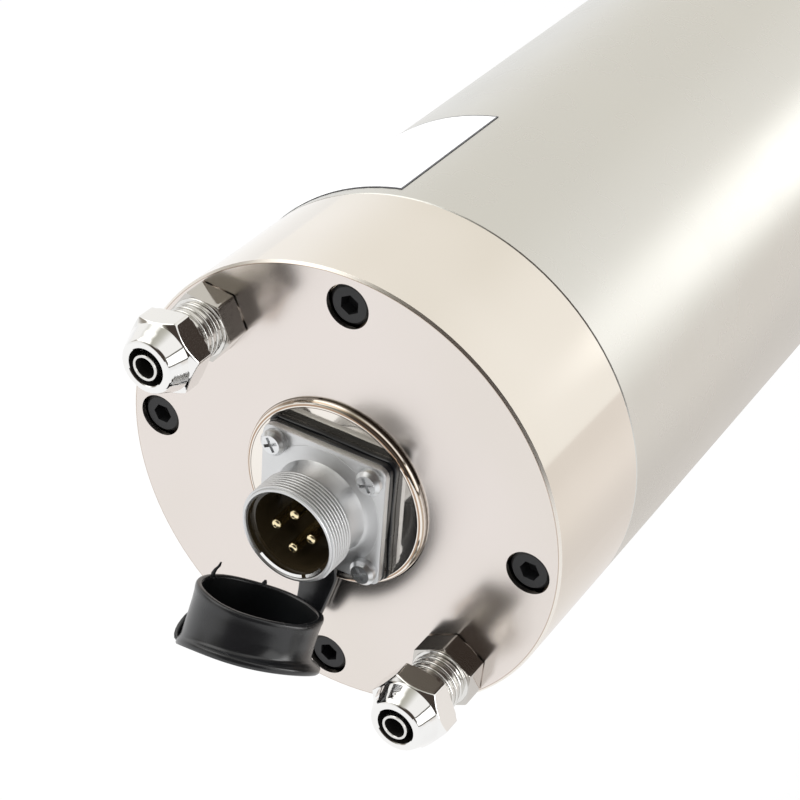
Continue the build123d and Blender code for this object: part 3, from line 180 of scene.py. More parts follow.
# %% World that gives a white background and a room to reflect
world = bpy.data.worlds.new("studio")
bpy.context.scene.world = world
world.use_nodes = True
tree = world.node_tree
background = tree.nodes["Background"]
rays = tree.nodes.new("ShaderNodeLightPath")
room = ROOM_PALE
for direction, inner, outer, colour in ROOM_PATCHES:
    room = mixed(tree, soft_patch(tree, direction, inner, outer), room, colour)
for half_width, half_height, colour in WINDOW_PARTS:
    room = mixed(tree, window(tree, WINDOW_TOWARDS, half_width, half_height), room, colour)
seen_in_metal = mixed(tree, rays.outputs["Is Glossy Ray"], AMBIENT, room)
seen = mixed(tree, rays.outputs["Is Camera Ray"], seen_in_metal, WHITE)
tree.links.new(mixed(tree, rays.outputs["Is Transmission Ray"], seen, WHITE), background.inputs["Color"])
background.inputs["Strength"].default_value = 1.0
bpy.context.scene.view_settings.view_transform = "Standard"
print("world nodes:", len(tree.nodes))


# %% [markdown]
# The lamps are plain soft boxes. One stands high on the left, one lies low on the right behind
# the tube, and a small one in front lights the rubber and the dark screws. The left one and the
# front one stay out of reflections, where their hard corners would show in the chrome: the soft
# lamp in the world stands for them there. The floor is a large white sheet, bright for the camera
# and in reflections, where its glow behind the object is painted darker and warmer, a painted
# shade, and plain white paper for everything else, so that it still takes the object's soft shadow.

# %% Lamps
def softbox(name, place_mm, size_mm, watts, target_mm=(0, 80, 0)):
    """Rectangular area lamp at a place, aimed at a target."""
    data = bpy.data.lights.new(name, "AREA")
    data.shape, data.size, data.size_y = "RECTANGLE", size_mm[0] * MM, size_mm[1] * MM
    data.energy = watts
    lamp = bpy.data.objects.new(name, data)
    bpy.context.scene.collection.objects.link(lamp)
    place = Vector(place_mm) * MM
    lamp.location = place
    lamp.rotation_mode = "QUATERNION"
    lamp.rotation_quaternion = (Vector(target_mm) * MM - place).to_track_quat("-Z", "Y")
    return lamp


softbox("box_left", (700, 250, 750), (600, 600), 9.0).visible_glossy = False
softbox("box_right", (-800, -150, 150), (250, 900), 3.0, (0, 0, 0))
softbox("box_front", (-100, 900, 650), (180, 240), 2.0, (0, 110, 0)).visible_glossy = False
print("lamps:", len(bpy.data.lights))

# %% Floor
FLOOR_Z = -150.0
# Painted shade: seen in reflections, the floor glows darker and warmer behind the object, in two tones
FLOOR_SHADE_BEHIND, FLOOR_SHADE_FAR = (0.77, 0.725, 0.69), (0.87, 0.82, 0.775)
FLOOR_GLOW = 0.88                      # share of the glow, the rest is lit paper
bpy.ops.mesh.primitive_plane_add(size=8.0, location=(0, 0, FLOOR_Z * MM))
floor = bpy.context.object
floor.name = "floor"
paper = bpy.data.materials.new("white_paper")
paper.use_nodes = True
tree = paper.node_tree
diffuse = tree.nodes["Principled BSDF"]
diffuse.inputs["Base Color"].default_value = (0.92, 0.92, 0.92, 1)
diffuse.inputs["Roughness"].default_value = 0.9
glow = tree.nodes.new("ShaderNodeEmission")
place = tree.nodes.new("ShaderNodeTexCoord")
axes = tree.nodes.new("ShaderNodeSeparateXYZ")
tree.links.new(place.outputs["Object"], axes.inputs["Vector"])
behind = math_node(tree, "MULTIPLY", eased(tree, axes.outputs["Y"], 0.10, -0.10),
                   eased(tree, axes.outputs["X"], 0.16, 0.02))
rays = tree.nodes.new("ShaderNodeLightPath")
# Painted shade: only reflections see the darker, warmer glow behind the object
in_metal = math_node(tree, "MULTIPLY", rays.outputs["Is Glossy Ray"], behind)
far = mixed(tree, eased(tree, axes.outputs["X"], -0.14, -0.30), FLOOR_SHADE_BEHIND, FLOOR_SHADE_FAR)
tree.links.new(mixed(tree, in_metal, WHITE, far), glow.inputs["Color"])
bright = math_node(tree, "MAXIMUM", rays.outputs["Is Camera Ray"], rays.outputs["Is Glossy Ray"])
bright = math_node(tree, "MAXIMUM", bright, rays.outputs["Is Transmission Ray"])
blend_shader = tree.nodes.new("ShaderNodeMixShader")
tree.links.new(math_node(tree, "MULTIPLY", bright, FLOOR_GLOW), blend_shader.inputs[0])
tree.links.new(diffuse.outputs[0], blend_shader.inputs[1])
tree.links.new(glow.outputs[0], blend_shader.inputs[2])
tree.links.new(blend_shader.outputs[0], tree.nodes["Material Output"].inputs["Surface"])
floor.data.materials.append(paper)
print("floor at z in mm:", FLOOR_Z)

# %% [markdown]
# ## Finishes
# A finish here has three parts: the colour with a slow drift in it, the roughness with a little
# unevenness, and a bump for the marks that the last tool left. The marks differ: grinding runs
# round the tube in fine hoops, turning leaves rings on a face, casting leaves grain. One function
# builds all of them, and the marks' kind only changes how the pattern's coordinates are stretched.

# %% One function for all finishes
MARKS = {
    "hoops": (140.0, 2600.0, 140.0),     # fine lines round the spindle's axis
    "grain": (1500.0, 1500.0, 1500.0),   # casting or moulding grain
    "clouds": (160.0, 160.0, 160.0),     # polish that is only slightly uneven
    "along": (1800.0, 120.0, 1800.0),    # drawn or rolled along the axis
}


def finish(name, colour, roughness, metallic=0.0, marks="clouds", depth_mm=0.004, drift=0.05,
           second=None, uneven=0.05, coat=0.0, specular=0.5):
    """Material with drifting colour, uneven roughness and a bump of tool marks."""
    material = bpy.data.materials.new(name)
    material.use_nodes = True
    tree = material.node_tree
    shader = tree.nodes["Principled BSDF"]
    place = tree.nodes.new("ShaderNodeTexCoord")

    def pattern(scale, detail):
        stretch = tree.nodes.new("ShaderNodeMapping")
        stretch.inputs["Scale"].default_value = scale
        tree.links.new(place.outputs["Object"], stretch.inputs["Vector"])
        texture = tree.nodes.new("ShaderNodeTexNoise")
        texture.inputs["Scale"].default_value = 1.0
        texture.inputs["Detail"].default_value = detail
        tree.links.new(stretch.outputs["Vector"], texture.inputs["Vector"])
        return texture.outputs[0]

    darker = tuple(c * (1 - drift) for c in colour) if second is None else second
    slow = pattern((28.0, 28.0, 28.0), 2.0)
    tree.links.new(mixed(tree, slow, colour, darker), shader.inputs["Base Color"])
    ramp = tree.nodes.new("ShaderNodeMapRange")
    ramp.inputs["To Min"].default_value = max(0.0, roughness - uneven)
    ramp.inputs["To Max"].default_value = roughness + uneven
    tree.links.new(pattern((90.0, 90.0, 90.0), 3.0), ramp.inputs["Value"])
    tree.links.new(ramp.outputs["Result"], shader.inputs["Roughness"])
    if depth_mm:
        bump = tree.nodes.new("ShaderNodeBump")
        bump.inputs["Distance"].default_value = depth_mm * MM
        bump.inputs["Strength"].default_value = 1.0
        tree.links.new(pattern(MARKS[marks], 2.0), bump.inputs["Height"])
        tree.links.new(bump.outputs["Normal"], shader.inputs["Normal"])
    shader.inputs["Metallic"].default_value = metallic
    shader.inputs["Coat Weight"].default_value = coat
    shader.inputs["Specular IOR Level"].default_value = specular
    return material


# %% The spindle's finishes
ground = finish("ground_tube", (0.71, 0.70, 0.66), 0.27, 1.0, "hoops", 0.0012, second=(0.69, 0.685, 0.655))
polished = finish("polished_steel", (0.80, 0.78, 0.75), 0.09, 1.0, "clouds", 0.001, uneven=0.03)
turned_face = finish("turned_steel", (0.66, 0.66, 0.65), 0.26, 1.0, "hoops", 0.002)
shaft_ground = finish("ground_shaft", (0.66, 0.66, 0.66), 0.2, 1.0, "hoops", 0.001)
bearing = finish("bearing_steel", (0.70, 0.70, 0.71), 0.1, 1.0, "hoops", 0.0005)
spring = finish("blued_spring", (0.22, 0.24, 0.30), 0.3, 1.0)
lamination = finish("stacked_sheets", (0.28, 0.28, 0.29), 0.5, 1.0, "hoops", 0.01)
alloy = finish("turned_alloy", (0.76, 0.76, 0.77), 0.32, 1.0, "hoops", 0.004)
cage_cast = finish("cast_cage", (0.70, 0.70, 0.71), 0.42, 1.0, "grain", 0.006)
copper = finish("enamelled_copper", (0.60, 0.24, 0.10), 0.3, 0.9, "along", 0.02, coat=0.4)
sleeve = finish("red_sleeve", (0.42, 0.03, 0.025), 0.42)
black_oxide = finish("black_oxide", (0.018, 0.018, 0.019), 0.33, 0.35, "grain", 0.004, uneven=0.1)
black_nut = finish("black_nut", (0.035, 0.035, 0.037), 0.36, 0.5, "hoops", 0.003, uneven=0.08)
zinc = finish("bright_zinc", (0.80, 0.81, 0.82), 0.33, 1.0, "clouds", 0.003, uneven=0.08)
cast_zinc = finish("satin_casting", (0.74, 0.745, 0.75), 0.42, 1.0, "grain", 0.005,
                   second=(0.69, 0.695, 0.70), uneven=0.08)
insert = finish("dark_insert", (0.018, 0.013, 0.008), 0.12, 0.0, "clouds", 0.004,
                second=(0.045, 0.033, 0.016), uneven=0.06, specular=0.7)
gold = finish("gold_plate", (0.97, 0.84, 0.54), 0.14, 1.0, "clouds", 0.001)
# The hexagon's nickel is darker than the barrel's
nickel_dark = finish("darker_hex_nickel", (0.60, 0.58, 0.55), 0.11, 1.0, "grain", 0.0015, uneven=0.04)
nickel = finish("nickel_plate", (0.78, 0.77, 0.745), 0.13, 1.0, "grain", 0.0015,
                second=(0.72, 0.71, 0.69), uneven=0.07)
chrome = finish("bright_chrome", (0.90, 0.895, 0.885), 0.045, 1.0, "clouds", 0.0006, uneven=0.02)
bright_edge = finish("bright_edge", (0.96, 0.96, 0.95), 0.14, 1.0, "clouds", 0.001, uneven=0.03)
# Painted shade: a near-black finish for bores, the nuts' mouths and the pins' dimples, where the metal only
# lies in shade
painted_bore_shade = finish("painted_bore_shade", (0.012, 0.011, 0.010), 0.6, 0.0, "clouds", 0.004, specular=0.2)
foil = finish("white_foil", (0.90, 0.90, 0.90), 0.4, 0.0, "clouds", 0.001, drift=0.01)
plate_dark_line = finish("dark_edge_line", (0.10, 0.10, 0.11), 0.45)
seal = finish("seal_rubber", (0.016, 0.016, 0.017), 0.5, 0.0, "grain", 0.004)
rubber = finish("black_rubber", (0.005, 0.0055, 0.0065), 0.27, 0.0, "grain", 0.004,
                second=(0.011, 0.0115, 0.013), uneven=0.10, specular=0.65)
# Painted shade: the cup's inside is darker and reflects less than its outside, though both are the same
# rubber
rubber_inside_shade = finish("rubber_inside_shade", (0.0035, 0.004, 0.0045), 0.5, 0.0, "grain", 0.004, specular=0.2)
print("finishes:", len(bpy.data.materials))

# %% [markdown]
# The rear cap is one piece with three polishes. Its flat face went over a finer disc and is a
# little hazy, so reflections are sharp at a contact and fade with the distance. The boss and the
# outer band are bright. Along the two turned edges thin brown and copper lines are painted into
# the colour: painted reflections of the dim brown room, and just outside the boss a dark line that
# is a painted contact shadow. The place on the cap decides: the distance from the axis, and the
# height along it.
# The place on the cap decides: the distance from the axis, and the height along it.

# %% Sizes and tints of the three polishes, with the painted edge lines
REAR_FACE, BODY_R, BOSS_R = 105.8, 40.0, 16.7
FACE_HAZE, RIM_HAZE = 0.13, 0.20
BAND_COLOURS = (0.885, 0.84, 0.785), (0.835, 0.79, 0.725)
FACE_COLOURS = (0.785, 0.725, 0.69), (0.765, 0.71, 0.662)
# Painted reflections of the dim brown room on the boss's edge and the rim; 16.68 to 16.82 is a painted
# contact shadow just outside the boss
PAINTED_EDGE_LINES = [                         # inner and outer radius, tint
    (15.52, 15.64, (0.20, 0.15, 0.12)),
    (15.86, 16.14, (0.42, 0.29, 0.20)),
    (16.40, 16.58, (0.46, 0.36, 0.27)),
    (16.68, 16.82, (0.26, 0.22, 0.19)),
    (39.50, 39.62, (0.50, 0.40, 0.33)),
]
print("painted edge lines:", len(PAINTED_EDGE_LINES))

# %% The rear cap's material
cap_polish = bpy.data.materials.new("rear_cap_polish")
cap_polish.use_nodes = True
tree = cap_polish.node_tree
shader = tree.nodes["Principled BSDF"]
place = tree.nodes.new("ShaderNodeTexCoord")
axes = tree.nodes.new("ShaderNodeSeparateXYZ")
tree.links.new(place.outputs["Object"], axes.inputs["Vector"])
squares = [math_node(tree, "POWER", axes.outputs[axis], 2.0) for axis in ("X", "Z")]
from_axis = math_node(tree, "SQRT", math_node(tree, "ADD", *squares))
height = axes.outputs["Y"]


def between(value, low_mm, high_mm, edge_mm=0.06):
    """1 where a length lies between two values, 0 elsewhere."""
    above = eased(tree, value, (low_mm - edge_mm) * MM, (low_mm + edge_mm) * MM)
    below = eased(tree, value, (high_mm + edge_mm) * MM, (high_mm - edge_mm) * MM)
    return math_node(tree, "MULTIPLY", above, below)


stretch = tree.nodes.new("ShaderNodeMapping")
stretch.inputs["Scale"].default_value = (22.0, 22.0, 22.0)
cloud = tree.nodes.new("ShaderNodeTexNoise")
cloud.inputs["Scale"].default_value = 1.0
tree.links.new(place.outputs["Object"], stretch.inputs["Vector"])
tree.links.new(stretch.outputs["Vector"], cloud.inputs["Vector"])
drift = eased(tree, cloud.outputs[0], 0.35, 0.65)
on_face = math_node(tree, "MULTIPLY", between(height, REAR_FACE - 0.08, REAR_FACE + 0.1),
                    between(from_axis, BOSS_R + 0.2, BODY_R - 0.45))
colour = mixed(tree, on_face, mixed(tree, drift, *BAND_COLOURS), mixed(tree, drift, *FACE_COLOURS))
# The painted reflection lines and the painted contact shadow go over the colour
for low, high, tint in PAINTED_EDGE_LINES:
    colour = mixed(tree, between(from_axis, low, high, 0.05), colour, tint)
tree.links.new(colour, shader.inputs["Base Color"])
rim_edge = math_node(tree, "MULTIPLY", between(height, REAR_FACE - 0.5, REAR_FACE - 0.02),
                     between(from_axis, BODY_R - 0.4, BODY_R - 0.03, 0.03))
haze = math_node(tree, "MULTIPLY_ADD", rim_edge, RIM_HAZE,
                 math_node(tree, "MULTIPLY", on_face, FACE_HAZE))
tree.links.new(math_node(tree, "ADD", haze, math_node(tree, "MULTIPLY_ADD", drift, 0.03, 0.07)),
               shader.inputs["Roughness"])
shader.inputs["Metallic"].default_value = 1.0
print("rear cap nodes:", len(tree.nodes))

# %% [markdown]
# Every solid carries a slot name that says what it is made of. The finish is looked up by that
# name, so pieces of the same stuff look alike, and only the rear cap gets a material of its own.

# %% Each solid gets its finish
FINISH_OF_SLOT = {
    "ground_steel": ground, "polished_steel": polished, "turned_steel": turned_face,
    "shaft_steel": shaft_ground, "bearing_steel": bearing, "spring_steel": spring,
    "lamination_steel": lamination, "jacket_alloy": alloy, "cage_alloy": cage_cast,
    "winding_copper": copper, "lead_sleeve": sleeve, "black_screw": black_oxide,
    "black_nut": black_nut, "zinc_screw": zinc, "connector_zinc": cast_zinc,
    "insert_plastic": insert, "gold_pin": gold, "fitting_nickel": nickel, "nut_chrome": chrome,
    "plate_foil": foil, "seal_rubber": seal, "black_rubber": rubber,
}
for part in frame["record"]["subparts"]:
    slots = nodes[part["node"]].data.materials
    slots.clear()
    slots.append(cap_polish if part["node"] == "rear_cap" else FINISH_OF_SLOT[part["material_slot"]])


# %% [markdown]
# ## Helpers for new pieces
# The threaded and soft pieces are built as meshes in millimetres and brought to metres at the
# end. A turned piece is an outline of radii and heights spun about an axis that runs along Y.

# %% From a mesh in millimetres to a finished object
def finished_object(name, bm, materials, smooth_deg=32.0):
    """Object at the origin from a mesh in millimetres, with sharp edges kept sharp."""
    bmesh.ops.remove_doubles(bm, verts=bm.verts, dist=1e-4)
    bmesh.ops.recalc_face_normals(bm, faces=bm.faces)
    bmesh.ops.scale(bm, vec=(MM, MM, MM), verts=bm.verts)
    mesh = bpy.data.meshes.new(name)
    bm.to_mesh(mesh)
    bm.free()
    for material in materials:
        mesh.materials.append(material)
    mesh.polygons.foreach_set("use_smooth", [True] * len(mesh.polygons))
    mesh.set_sharp_from_angle(angle=math.radians(smooth_deg))
    piece = bpy.data.objects.new(name, mesh)
    bpy.context.scene.collection.objects.link(piece)
    return piece


# %% Turned bodies, prisms and turned hexagons
def add_turned(bm, outline, centre=(0.0, 0.0), segments=96):
    """Closed turned body: (radius, y) points spun about the line through centre = (x, z)."""
    rings = []
    for radius, y in outline:
        if radius < 1e-6:
            rings.append([bm.verts.new((centre[0], y, centre[1]))])
            continue
        ring = []
        for i in range(segments):
            angle = 2 * math.pi * i / segments
            ring.append(bm.verts.new((
                centre[0] + radius * math.cos(angle), y, centre[1] + radius * math.sin(angle))))
        rings.append(ring)
    pairs = list(zip(rings, rings[1:] + rings[:1]))
    if len(rings[0]) == 1 and len(rings[-1]) == 1:
        pairs = pairs[:-1]
    for low, high in pairs:
        for i in range(segments):
            j = (i + 1) % segments
            corners = [low[i % len(low)], low[j % len(low)], high[j % len(high)], high[i % len(high)]]
            unique = list(dict.fromkeys(corners))
            if len(unique) > 2:
                bm.faces.new(unique)


def add_prism(bm, corners, y_low, y_high, bevel=0.0):
    """Closed prism from (x, z) corners, its rims bevelled."""
    top = [bm.verts.new((x, y_high, z)) for x, z in corners]
    bottom = [bm.verts.new((x, y_low, z)) for x, z in corners]
    faces = [bm.faces.new(top), bm.faces.new(bottom[::-1])]
    for i in range(len(corners)):
        j = (i + 1) % len(corners)
        faces.append(bm.faces.new((bottom[i], bottom[j], top[j], top[i])))
    if bevel:
        rims = {edge for face in faces[:2] for edge in face.edges}
        bmesh.ops.bevel(bm, geom=list(rims), offset=bevel, segments=2, profile=0.5, affect="EDGES")


def add_hexed(bm, outline, apothem, turn_deg, centre=(0.0, 0.0), segments=144, sharpness=70.0):
    """Turned body with six flats: each radius is a soft minimum of the outline and the flats."""
    rings = []
    for radius, y in outline:
        ring = []
        for i in range(segments):
            angle = 2 * math.pi * i / segments
            total = radius ** -sharpness
            for k in range(6):
                facing = -math.cos(angle + math.radians(turn_deg + 30 + 60 * k))
                if facing > 0.5:
                    total += (apothem / facing) ** -sharpness
            r = total ** (-1 / sharpness)
            ring.append(bm.verts.new((centre[0] + r * math.cos(angle), y, centre[1] + r * math.sin(angle))))
        rings.append(ring)
    for low, high in zip(rings, rings[1:] + rings[:1]):
        for i in range(segments):
            j = (i + 1) % segments
            bm.faces.new((low[i], low[j], high[j], high[i]))


# %% Arcs, round-cornered squares and ribbons
def add_arc(bm, r_low, r_high, y_low, y_high, first_deg, last_deg, slope=0.31, steps=24):
    """Closed piece of a ring between two angles about the spindle's axis, its top sloping inwards."""
    corners = (r_low, y_low), (r_high, y_low), (r_high, y_high), (r_low, y_high - slope * (r_high - r_low))
    sections = []
    for k in range(steps + 1):
        angle = math.radians(first_deg + (last_deg - first_deg) * k / steps)
        sections.append([bm.verts.new((r * math.cos(angle), y, r * math.sin(angle))) for r, y in corners])
    for one, other in zip(sections, sections[1:]):
        for i in range(4):
            j = (i + 1) % 4
            bm.faces.new((one[i], one[j], other[j], other[i]))
    bm.faces.new(sections[0])
    bm.faces.new(sections[-1][::-1])


def rounded_square(side, corner, steps=8, wobble=None):
    """(x, z) outline of a square with round corners; wobble moves a point in or out."""
    points = []
    half = side / 2 - corner
    for quarter in range(4):
        cx = half if quarter in (0, 3) else -half
        cz = half if quarter in (0, 1) else -half
        for i in range(steps + 1):
            angle = math.pi / 2 * (quarter + i / steps)
            points.append((cx + corner * math.cos(angle), cz + corner * math.sin(angle)))
        if wobble:
            nx = half if (quarter + 1) % 4 in (0, 3) else -half
            nz = half if (quarter + 1) % 4 in (0, 1) else -half
            angle = math.pi / 2 * (quarter + 1)
            start = Vector((cx + corner * math.cos(angle), cz + corner * math.sin(angle)))
            stop = Vector((nx + corner * math.cos(angle), nz + corner * math.sin(angle)))
            points += [tuple(start.lerp(stop, k / 24)) for k in range(1, 24)]
    if wobble:
        points = [wobble(Vector(p)) for p in points]
    return points


def add_ribbon(bm, line, width, thickness, side, rounding=0.3):
    """Closed strip with round edges along a line of points; width may be a list, one for each."""
    widths = width if isinstance(width, (list, tuple)) else [width] * len(line)
    side = Vector(side).normalized()
    rings = []
    for i, point in enumerate(line):
        ahead = Vector(line[min(i + 1, len(line) - 1)]) - Vector(line[max(i - 1, 0)])
        flat = side.cross(ahead).normalized()
        half_w, half_t = widths[i] / 2, thickness / 2
        r = min(rounding, half_t)
        ring = []
        for sx, sy, first in ((1, 1, 0), (-1, 1, 90), (-1, -1, 180), (1, -1, 270)):
            for k in range(4):
                a = math.radians(first + 30 * k)
                ring.append(bm.verts.new(
                    Vector(point) + side * (sx * (half_w - r) + r * math.cos(a))
                    + flat * (sy * (half_t - r) + r * math.sin(a))))
        rings.append(ring)
    for low, high in zip(rings, rings[1:]):
        for i in range(len(low)):
            j = (i + 1) % len(low)
            bm.faces.new((low[i], low[j], high[j], high[i]))
    bm.faces.new(rings[0][::-1])
    bm.faces.new(rings[-1])


print("helpers ready")

# %% [markdown]
# ## Threads with Geometry Nodes
# A thread is a ridge that follows a helix, so a small node tree makes it: a spiral line, swept
# with a round section, laid along the Y axis and moved to its place. The tree has named inputs
# for the radius, the turns, the length and the ridge, and the same tree serves the connector and
# both hose fittings. The result becomes a plain mesh, and the modifier goes.

# %% What every node tree here shares
def new_tree(name, inputs):
    """Tree with named inputs and a Finish, which ends in Realize Instances and Set Material."""
    tree = bpy.data.node_groups.new(name, "GeometryNodeTree")
    tree.interface.new_socket(name="Geometry", in_out="OUTPUT", socket_type="NodeSocketGeometry")
    for title, kind, value in (*inputs, ("Finish", "Material", None)):
        socket = tree.interface.new_socket(name=title, in_out="INPUT", socket_type="NodeSocket" + kind)
        socket.default_value = value
    given = tree.nodes.new("NodeGroupInput")
    realize = tree.nodes.new("GeometryNodeRealizeInstances")
    paint = tree.nodes.new("GeometryNodeSetMaterial")
    result = tree.nodes.new("NodeGroupOutput")
    tree.links.new(realize.outputs["Geometry"], paint.inputs["Geometry"])
    tree.links.new(given.outputs["Finish"], paint.inputs["Material"])
    tree.links.new(paint.outputs["Geometry"], result.inputs["Geometry"])
    return tree, given, realize


# %% The thread tree
thread_tree, given, realize = new_tree("thread", [
    ("Radius", "Float", 0.008), ("Turns", "Float", 8.0), ("Length", "Float", 0.0055),
    ("Ridge", "Float", 0.0003), ("Start", "Vector", (0.0, 0.0, 0.0))])
spiral = thread_tree.nodes.new("GeometryNodeCurveSpiral")
spiral.inputs["Resolution"].default_value = 56
section = thread_tree.nodes.new("GeometryNodeCurvePrimitiveCircle")
section.inputs["Resolution"].default_value = 8
sweep = thread_tree.nodes.new("GeometryNodeCurveToMesh")
sweep.inputs["Fill Caps"].default_value = True
lay = thread_tree.nodes.new("GeometryNodeTransform")
lay.inputs["Rotation"].default_value = (-math.pi / 2, 0.0, 0.0)
link = thread_tree.links.new
link(given.outputs["Turns"], spiral.inputs["Rotations"])
link(given.outputs["Radius"], spiral.inputs["Start Radius"])
link(given.outputs["Radius"], spiral.inputs["End Radius"])
link(given.outputs["Length"], spiral.inputs["Height"])
link(given.outputs["Ridge"], section.inputs["Radius"])
link(spiral.outputs["Curve"], sweep.inputs["Curve"])
link(section.outputs["Curve"], sweep.inputs["Profile Curve"])
link(sweep.outputs["Mesh"], lay.inputs["Geometry"])
link(given.outputs["Start"], lay.inputs["Translation"])
link(lay.outputs["Geometry"], realize.inputs["Geometry"])


def made_by(tree, name, **values):
    """Plain mesh object from a node tree; a modifier's input is set by its identifier."""
    holder = bpy.data.objects.new(name, bpy.data.meshes.new(name))
    bpy.context.scene.collection.objects.link(holder)
    modifier = holder.modifiers.new(name, "NODES")
    modifier.node_group = tree
    for item in tree.interface.items_tree:
        if item.item_type == "SOCKET" and item.in_out == "INPUT" and item.name in values:
            modifier[item.identifier] = values[item.name]
    ready = holder.evaluated_get(bpy.context.evaluated_depsgraph_get())
    mesh = bpy.data.meshes.new_from_object(ready)
    holder.modifiers.clear()
    holder.data = mesh
    mesh.name = name
    return holder


print("thread tree nodes:", len(thread_tree.nodes))


# %% Joining meshes into one piece
def joined(name, *pieces):
    """One object from several, with their materials kept."""
    bpy.ops.object.select_all(action="DESELECT")
    for piece in pieces:
        piece.select_set(True)
    bpy.context.view_layer.objects.active = pieces[0]
    bpy.ops.object.join()
    whole = bpy.context.object
    whole.name = name
    whole.data.name = name
    return whole


# %% [markdown]
# ## The connector's shell
# The shell is a casting: a square flange with round corners, and a barrel with a fine thread for
# the plug's ring. The solid has a plain barrel, so this piece replaces it. The barrel is turned
# with the thread's root as its radius, and the helix adds the ridges up to the true outer radius.
# Just inside the rim stand two bright arcs, with the key's gap between them, where the plug finds
# its turn. Their top slopes inwards, so that it shows the pale room and not the dark cup before it.

# %% Connector shell
BOSS_FACE = 107.1
FLANGE_SIDE, FLANGE_CORNER, FLANGE_BACK, FLANGE_FACE = 22.6, 1.6, 109.1, 110.3
SHELL_TAIL, NECK_END, SHELL_RIM, SHELL_BORE_R = 97.1, 114.5, 120.0, 7.7
THREAD_R, THREAD_RIDGE, THREAD_TURNS, THREAD_LENGTH = 8.65, 0.26, 7.6, 4.75
KEY_ARCS = (-150.0, -121.0), (-114.5, -50.0)

bm = bmesh.new()
root = THREAD_R - 0.36
add_turned(bm, [
    (SHELL_BORE_R, SHELL_TAIL), (8.8, SHELL_TAIL), (8.8, FLANGE_FACE - 0.1), (10.7, FLANGE_FACE - 0.05),
    (10.66, FLANGE_FACE + 0.08), (10.45, FLANGE_FACE + 0.12), (9.1, FLANGE_FACE + 0.12),
    (8.35, FLANGE_FACE + 0.45), (8.02, FLANGE_FACE + 1.1), (8.0, NECK_END - 0.35),
    (8.2, NECK_END - 0.05), (root, NECK_END + 0.1), (root, SHELL_RIM - 0.35),
    (root - 0.12, SHELL_RIM - 0.05), (8.0, SHELL_RIM), (SHELL_BORE_R + 0.15, SHELL_RIM),
    (SHELL_BORE_R, SHELL_RIM - 0.15)], segments=128)
shell = finished_object("shell_barrel", bm, [cast_zinc])
bm = bmesh.new()
add_prism(bm, rounded_square(FLANGE_SIDE, FLANGE_CORNER), FLANGE_BACK, FLANGE_FACE, bevel=0.18)
flange = finished_object("shell_flange", bm, [cast_zinc])
ridges = made_by(thread_tree, "shell_thread", Radius=(THREAD_R - THREAD_RIDGE) * MM,
                 Turns=THREAD_TURNS, Length=THREAD_LENGTH * MM, Ridge=THREAD_RIDGE * MM,
                 Start=(0.0, (NECK_END + 0.35) * MM, 0.0), Finish=cast_zinc)
bm = bmesh.new()
for first, last in KEY_ARCS:
    add_arc(bm, SHELL_BORE_R - 0.68, SHELL_BORE_R - 0.2, SHELL_RIM - 0.5, SHELL_RIM - 0.08, first, last)
key_ring = finished_object("shell_key_ring", bm, [bright_edge])
shell = joined("connector_shell_threaded", shell, flange, ridges, key_ring)
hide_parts("connector_shell")
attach(shell, "housing")
print("connector shell faces:", len(shell.data.polygons))

# %% [markdown]
# ## The dark insert and its pins
# The insulator fills the barrel's bottom. Its thin wall, up the bore almost to the rim, is a dark
# sheet put where the bore lies in shade, a painted shade, so the inside looks dark brown with one
# bright crescent of bare metal. The four gold pins have a small dimple in the tip, its wall painted
# near-black as painted shade. They repeat on a circle, so a node tree instances one turned pin.

# %% Insulator with a dark sheet up the bore, a painted shade
INSERT_FACE, INSERT_TAIL = 111.3, 98.3
PIN_TIP, PIN_TAIL, PIN_CIRCLE_R = 118.3, 94.3, 3.25
DIMPLE_SHIFT = 0.22                    # the dimple isn't quite in the pin's middle
PINS_SHIFT = 0.35                      # the whole set sits this much low in its insert
bm = bmesh.new()
# The insulator's bottom is real; its thin wall up the bore to near the rim is a painted shade sheet
add_turned(bm, [
    (0.0, INSERT_TAIL), (7.69, INSERT_TAIL), (7.69, SHELL_RIM - 0.35), (7.5, SHELL_RIM - 0.4),
    (7.45, SHELL_RIM - 1.6), (6.95, SHELL_RIM - 1.7), (6.9, INSERT_FACE),
    (1.5, INSERT_FACE), (1.3, INSERT_FACE + 0.25), (0.0, INSERT_FACE + 0.25)], segments=96)
insulator_and_shade_sheet = finished_object("connector_insulator_lined", bm, [insert])
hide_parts("connector_insulator")
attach(insulator_and_shade_sheet, "housing")
print("insulator faces:", len(insulator_and_shade_sheet.data.polygons))

# %% One pin
bm = bmesh.new()
add_turned(bm, [
    (0.0, PIN_TAIL), (0.93, PIN_TAIL), (0.93, PIN_TIP - 0.62), (0.90, PIN_TIP - 0.42),
    (0.83, PIN_TIP - 0.26), (0.71, PIN_TIP - 0.12), (0.52, PIN_TIP - 0.03), (0.36, PIN_TIP),
    (0.27, PIN_TIP), (0.22, PIN_TIP - 0.08), (0.21, PIN_TIP - 0.5), (0.0, PIN_TIP - 0.55)], segments=32)
for vert in bm.verts:
    if vert.co.y > PIN_TIP - 0.6 and math.hypot(vert.co.x, vert.co.z) < 0.3:
        vert.co.z -= DIMPLE_SHIFT
one_pin = finished_object("one_pin", bm, [gold])
print("one pin:", len(one_pin.data.polygons), "faces")

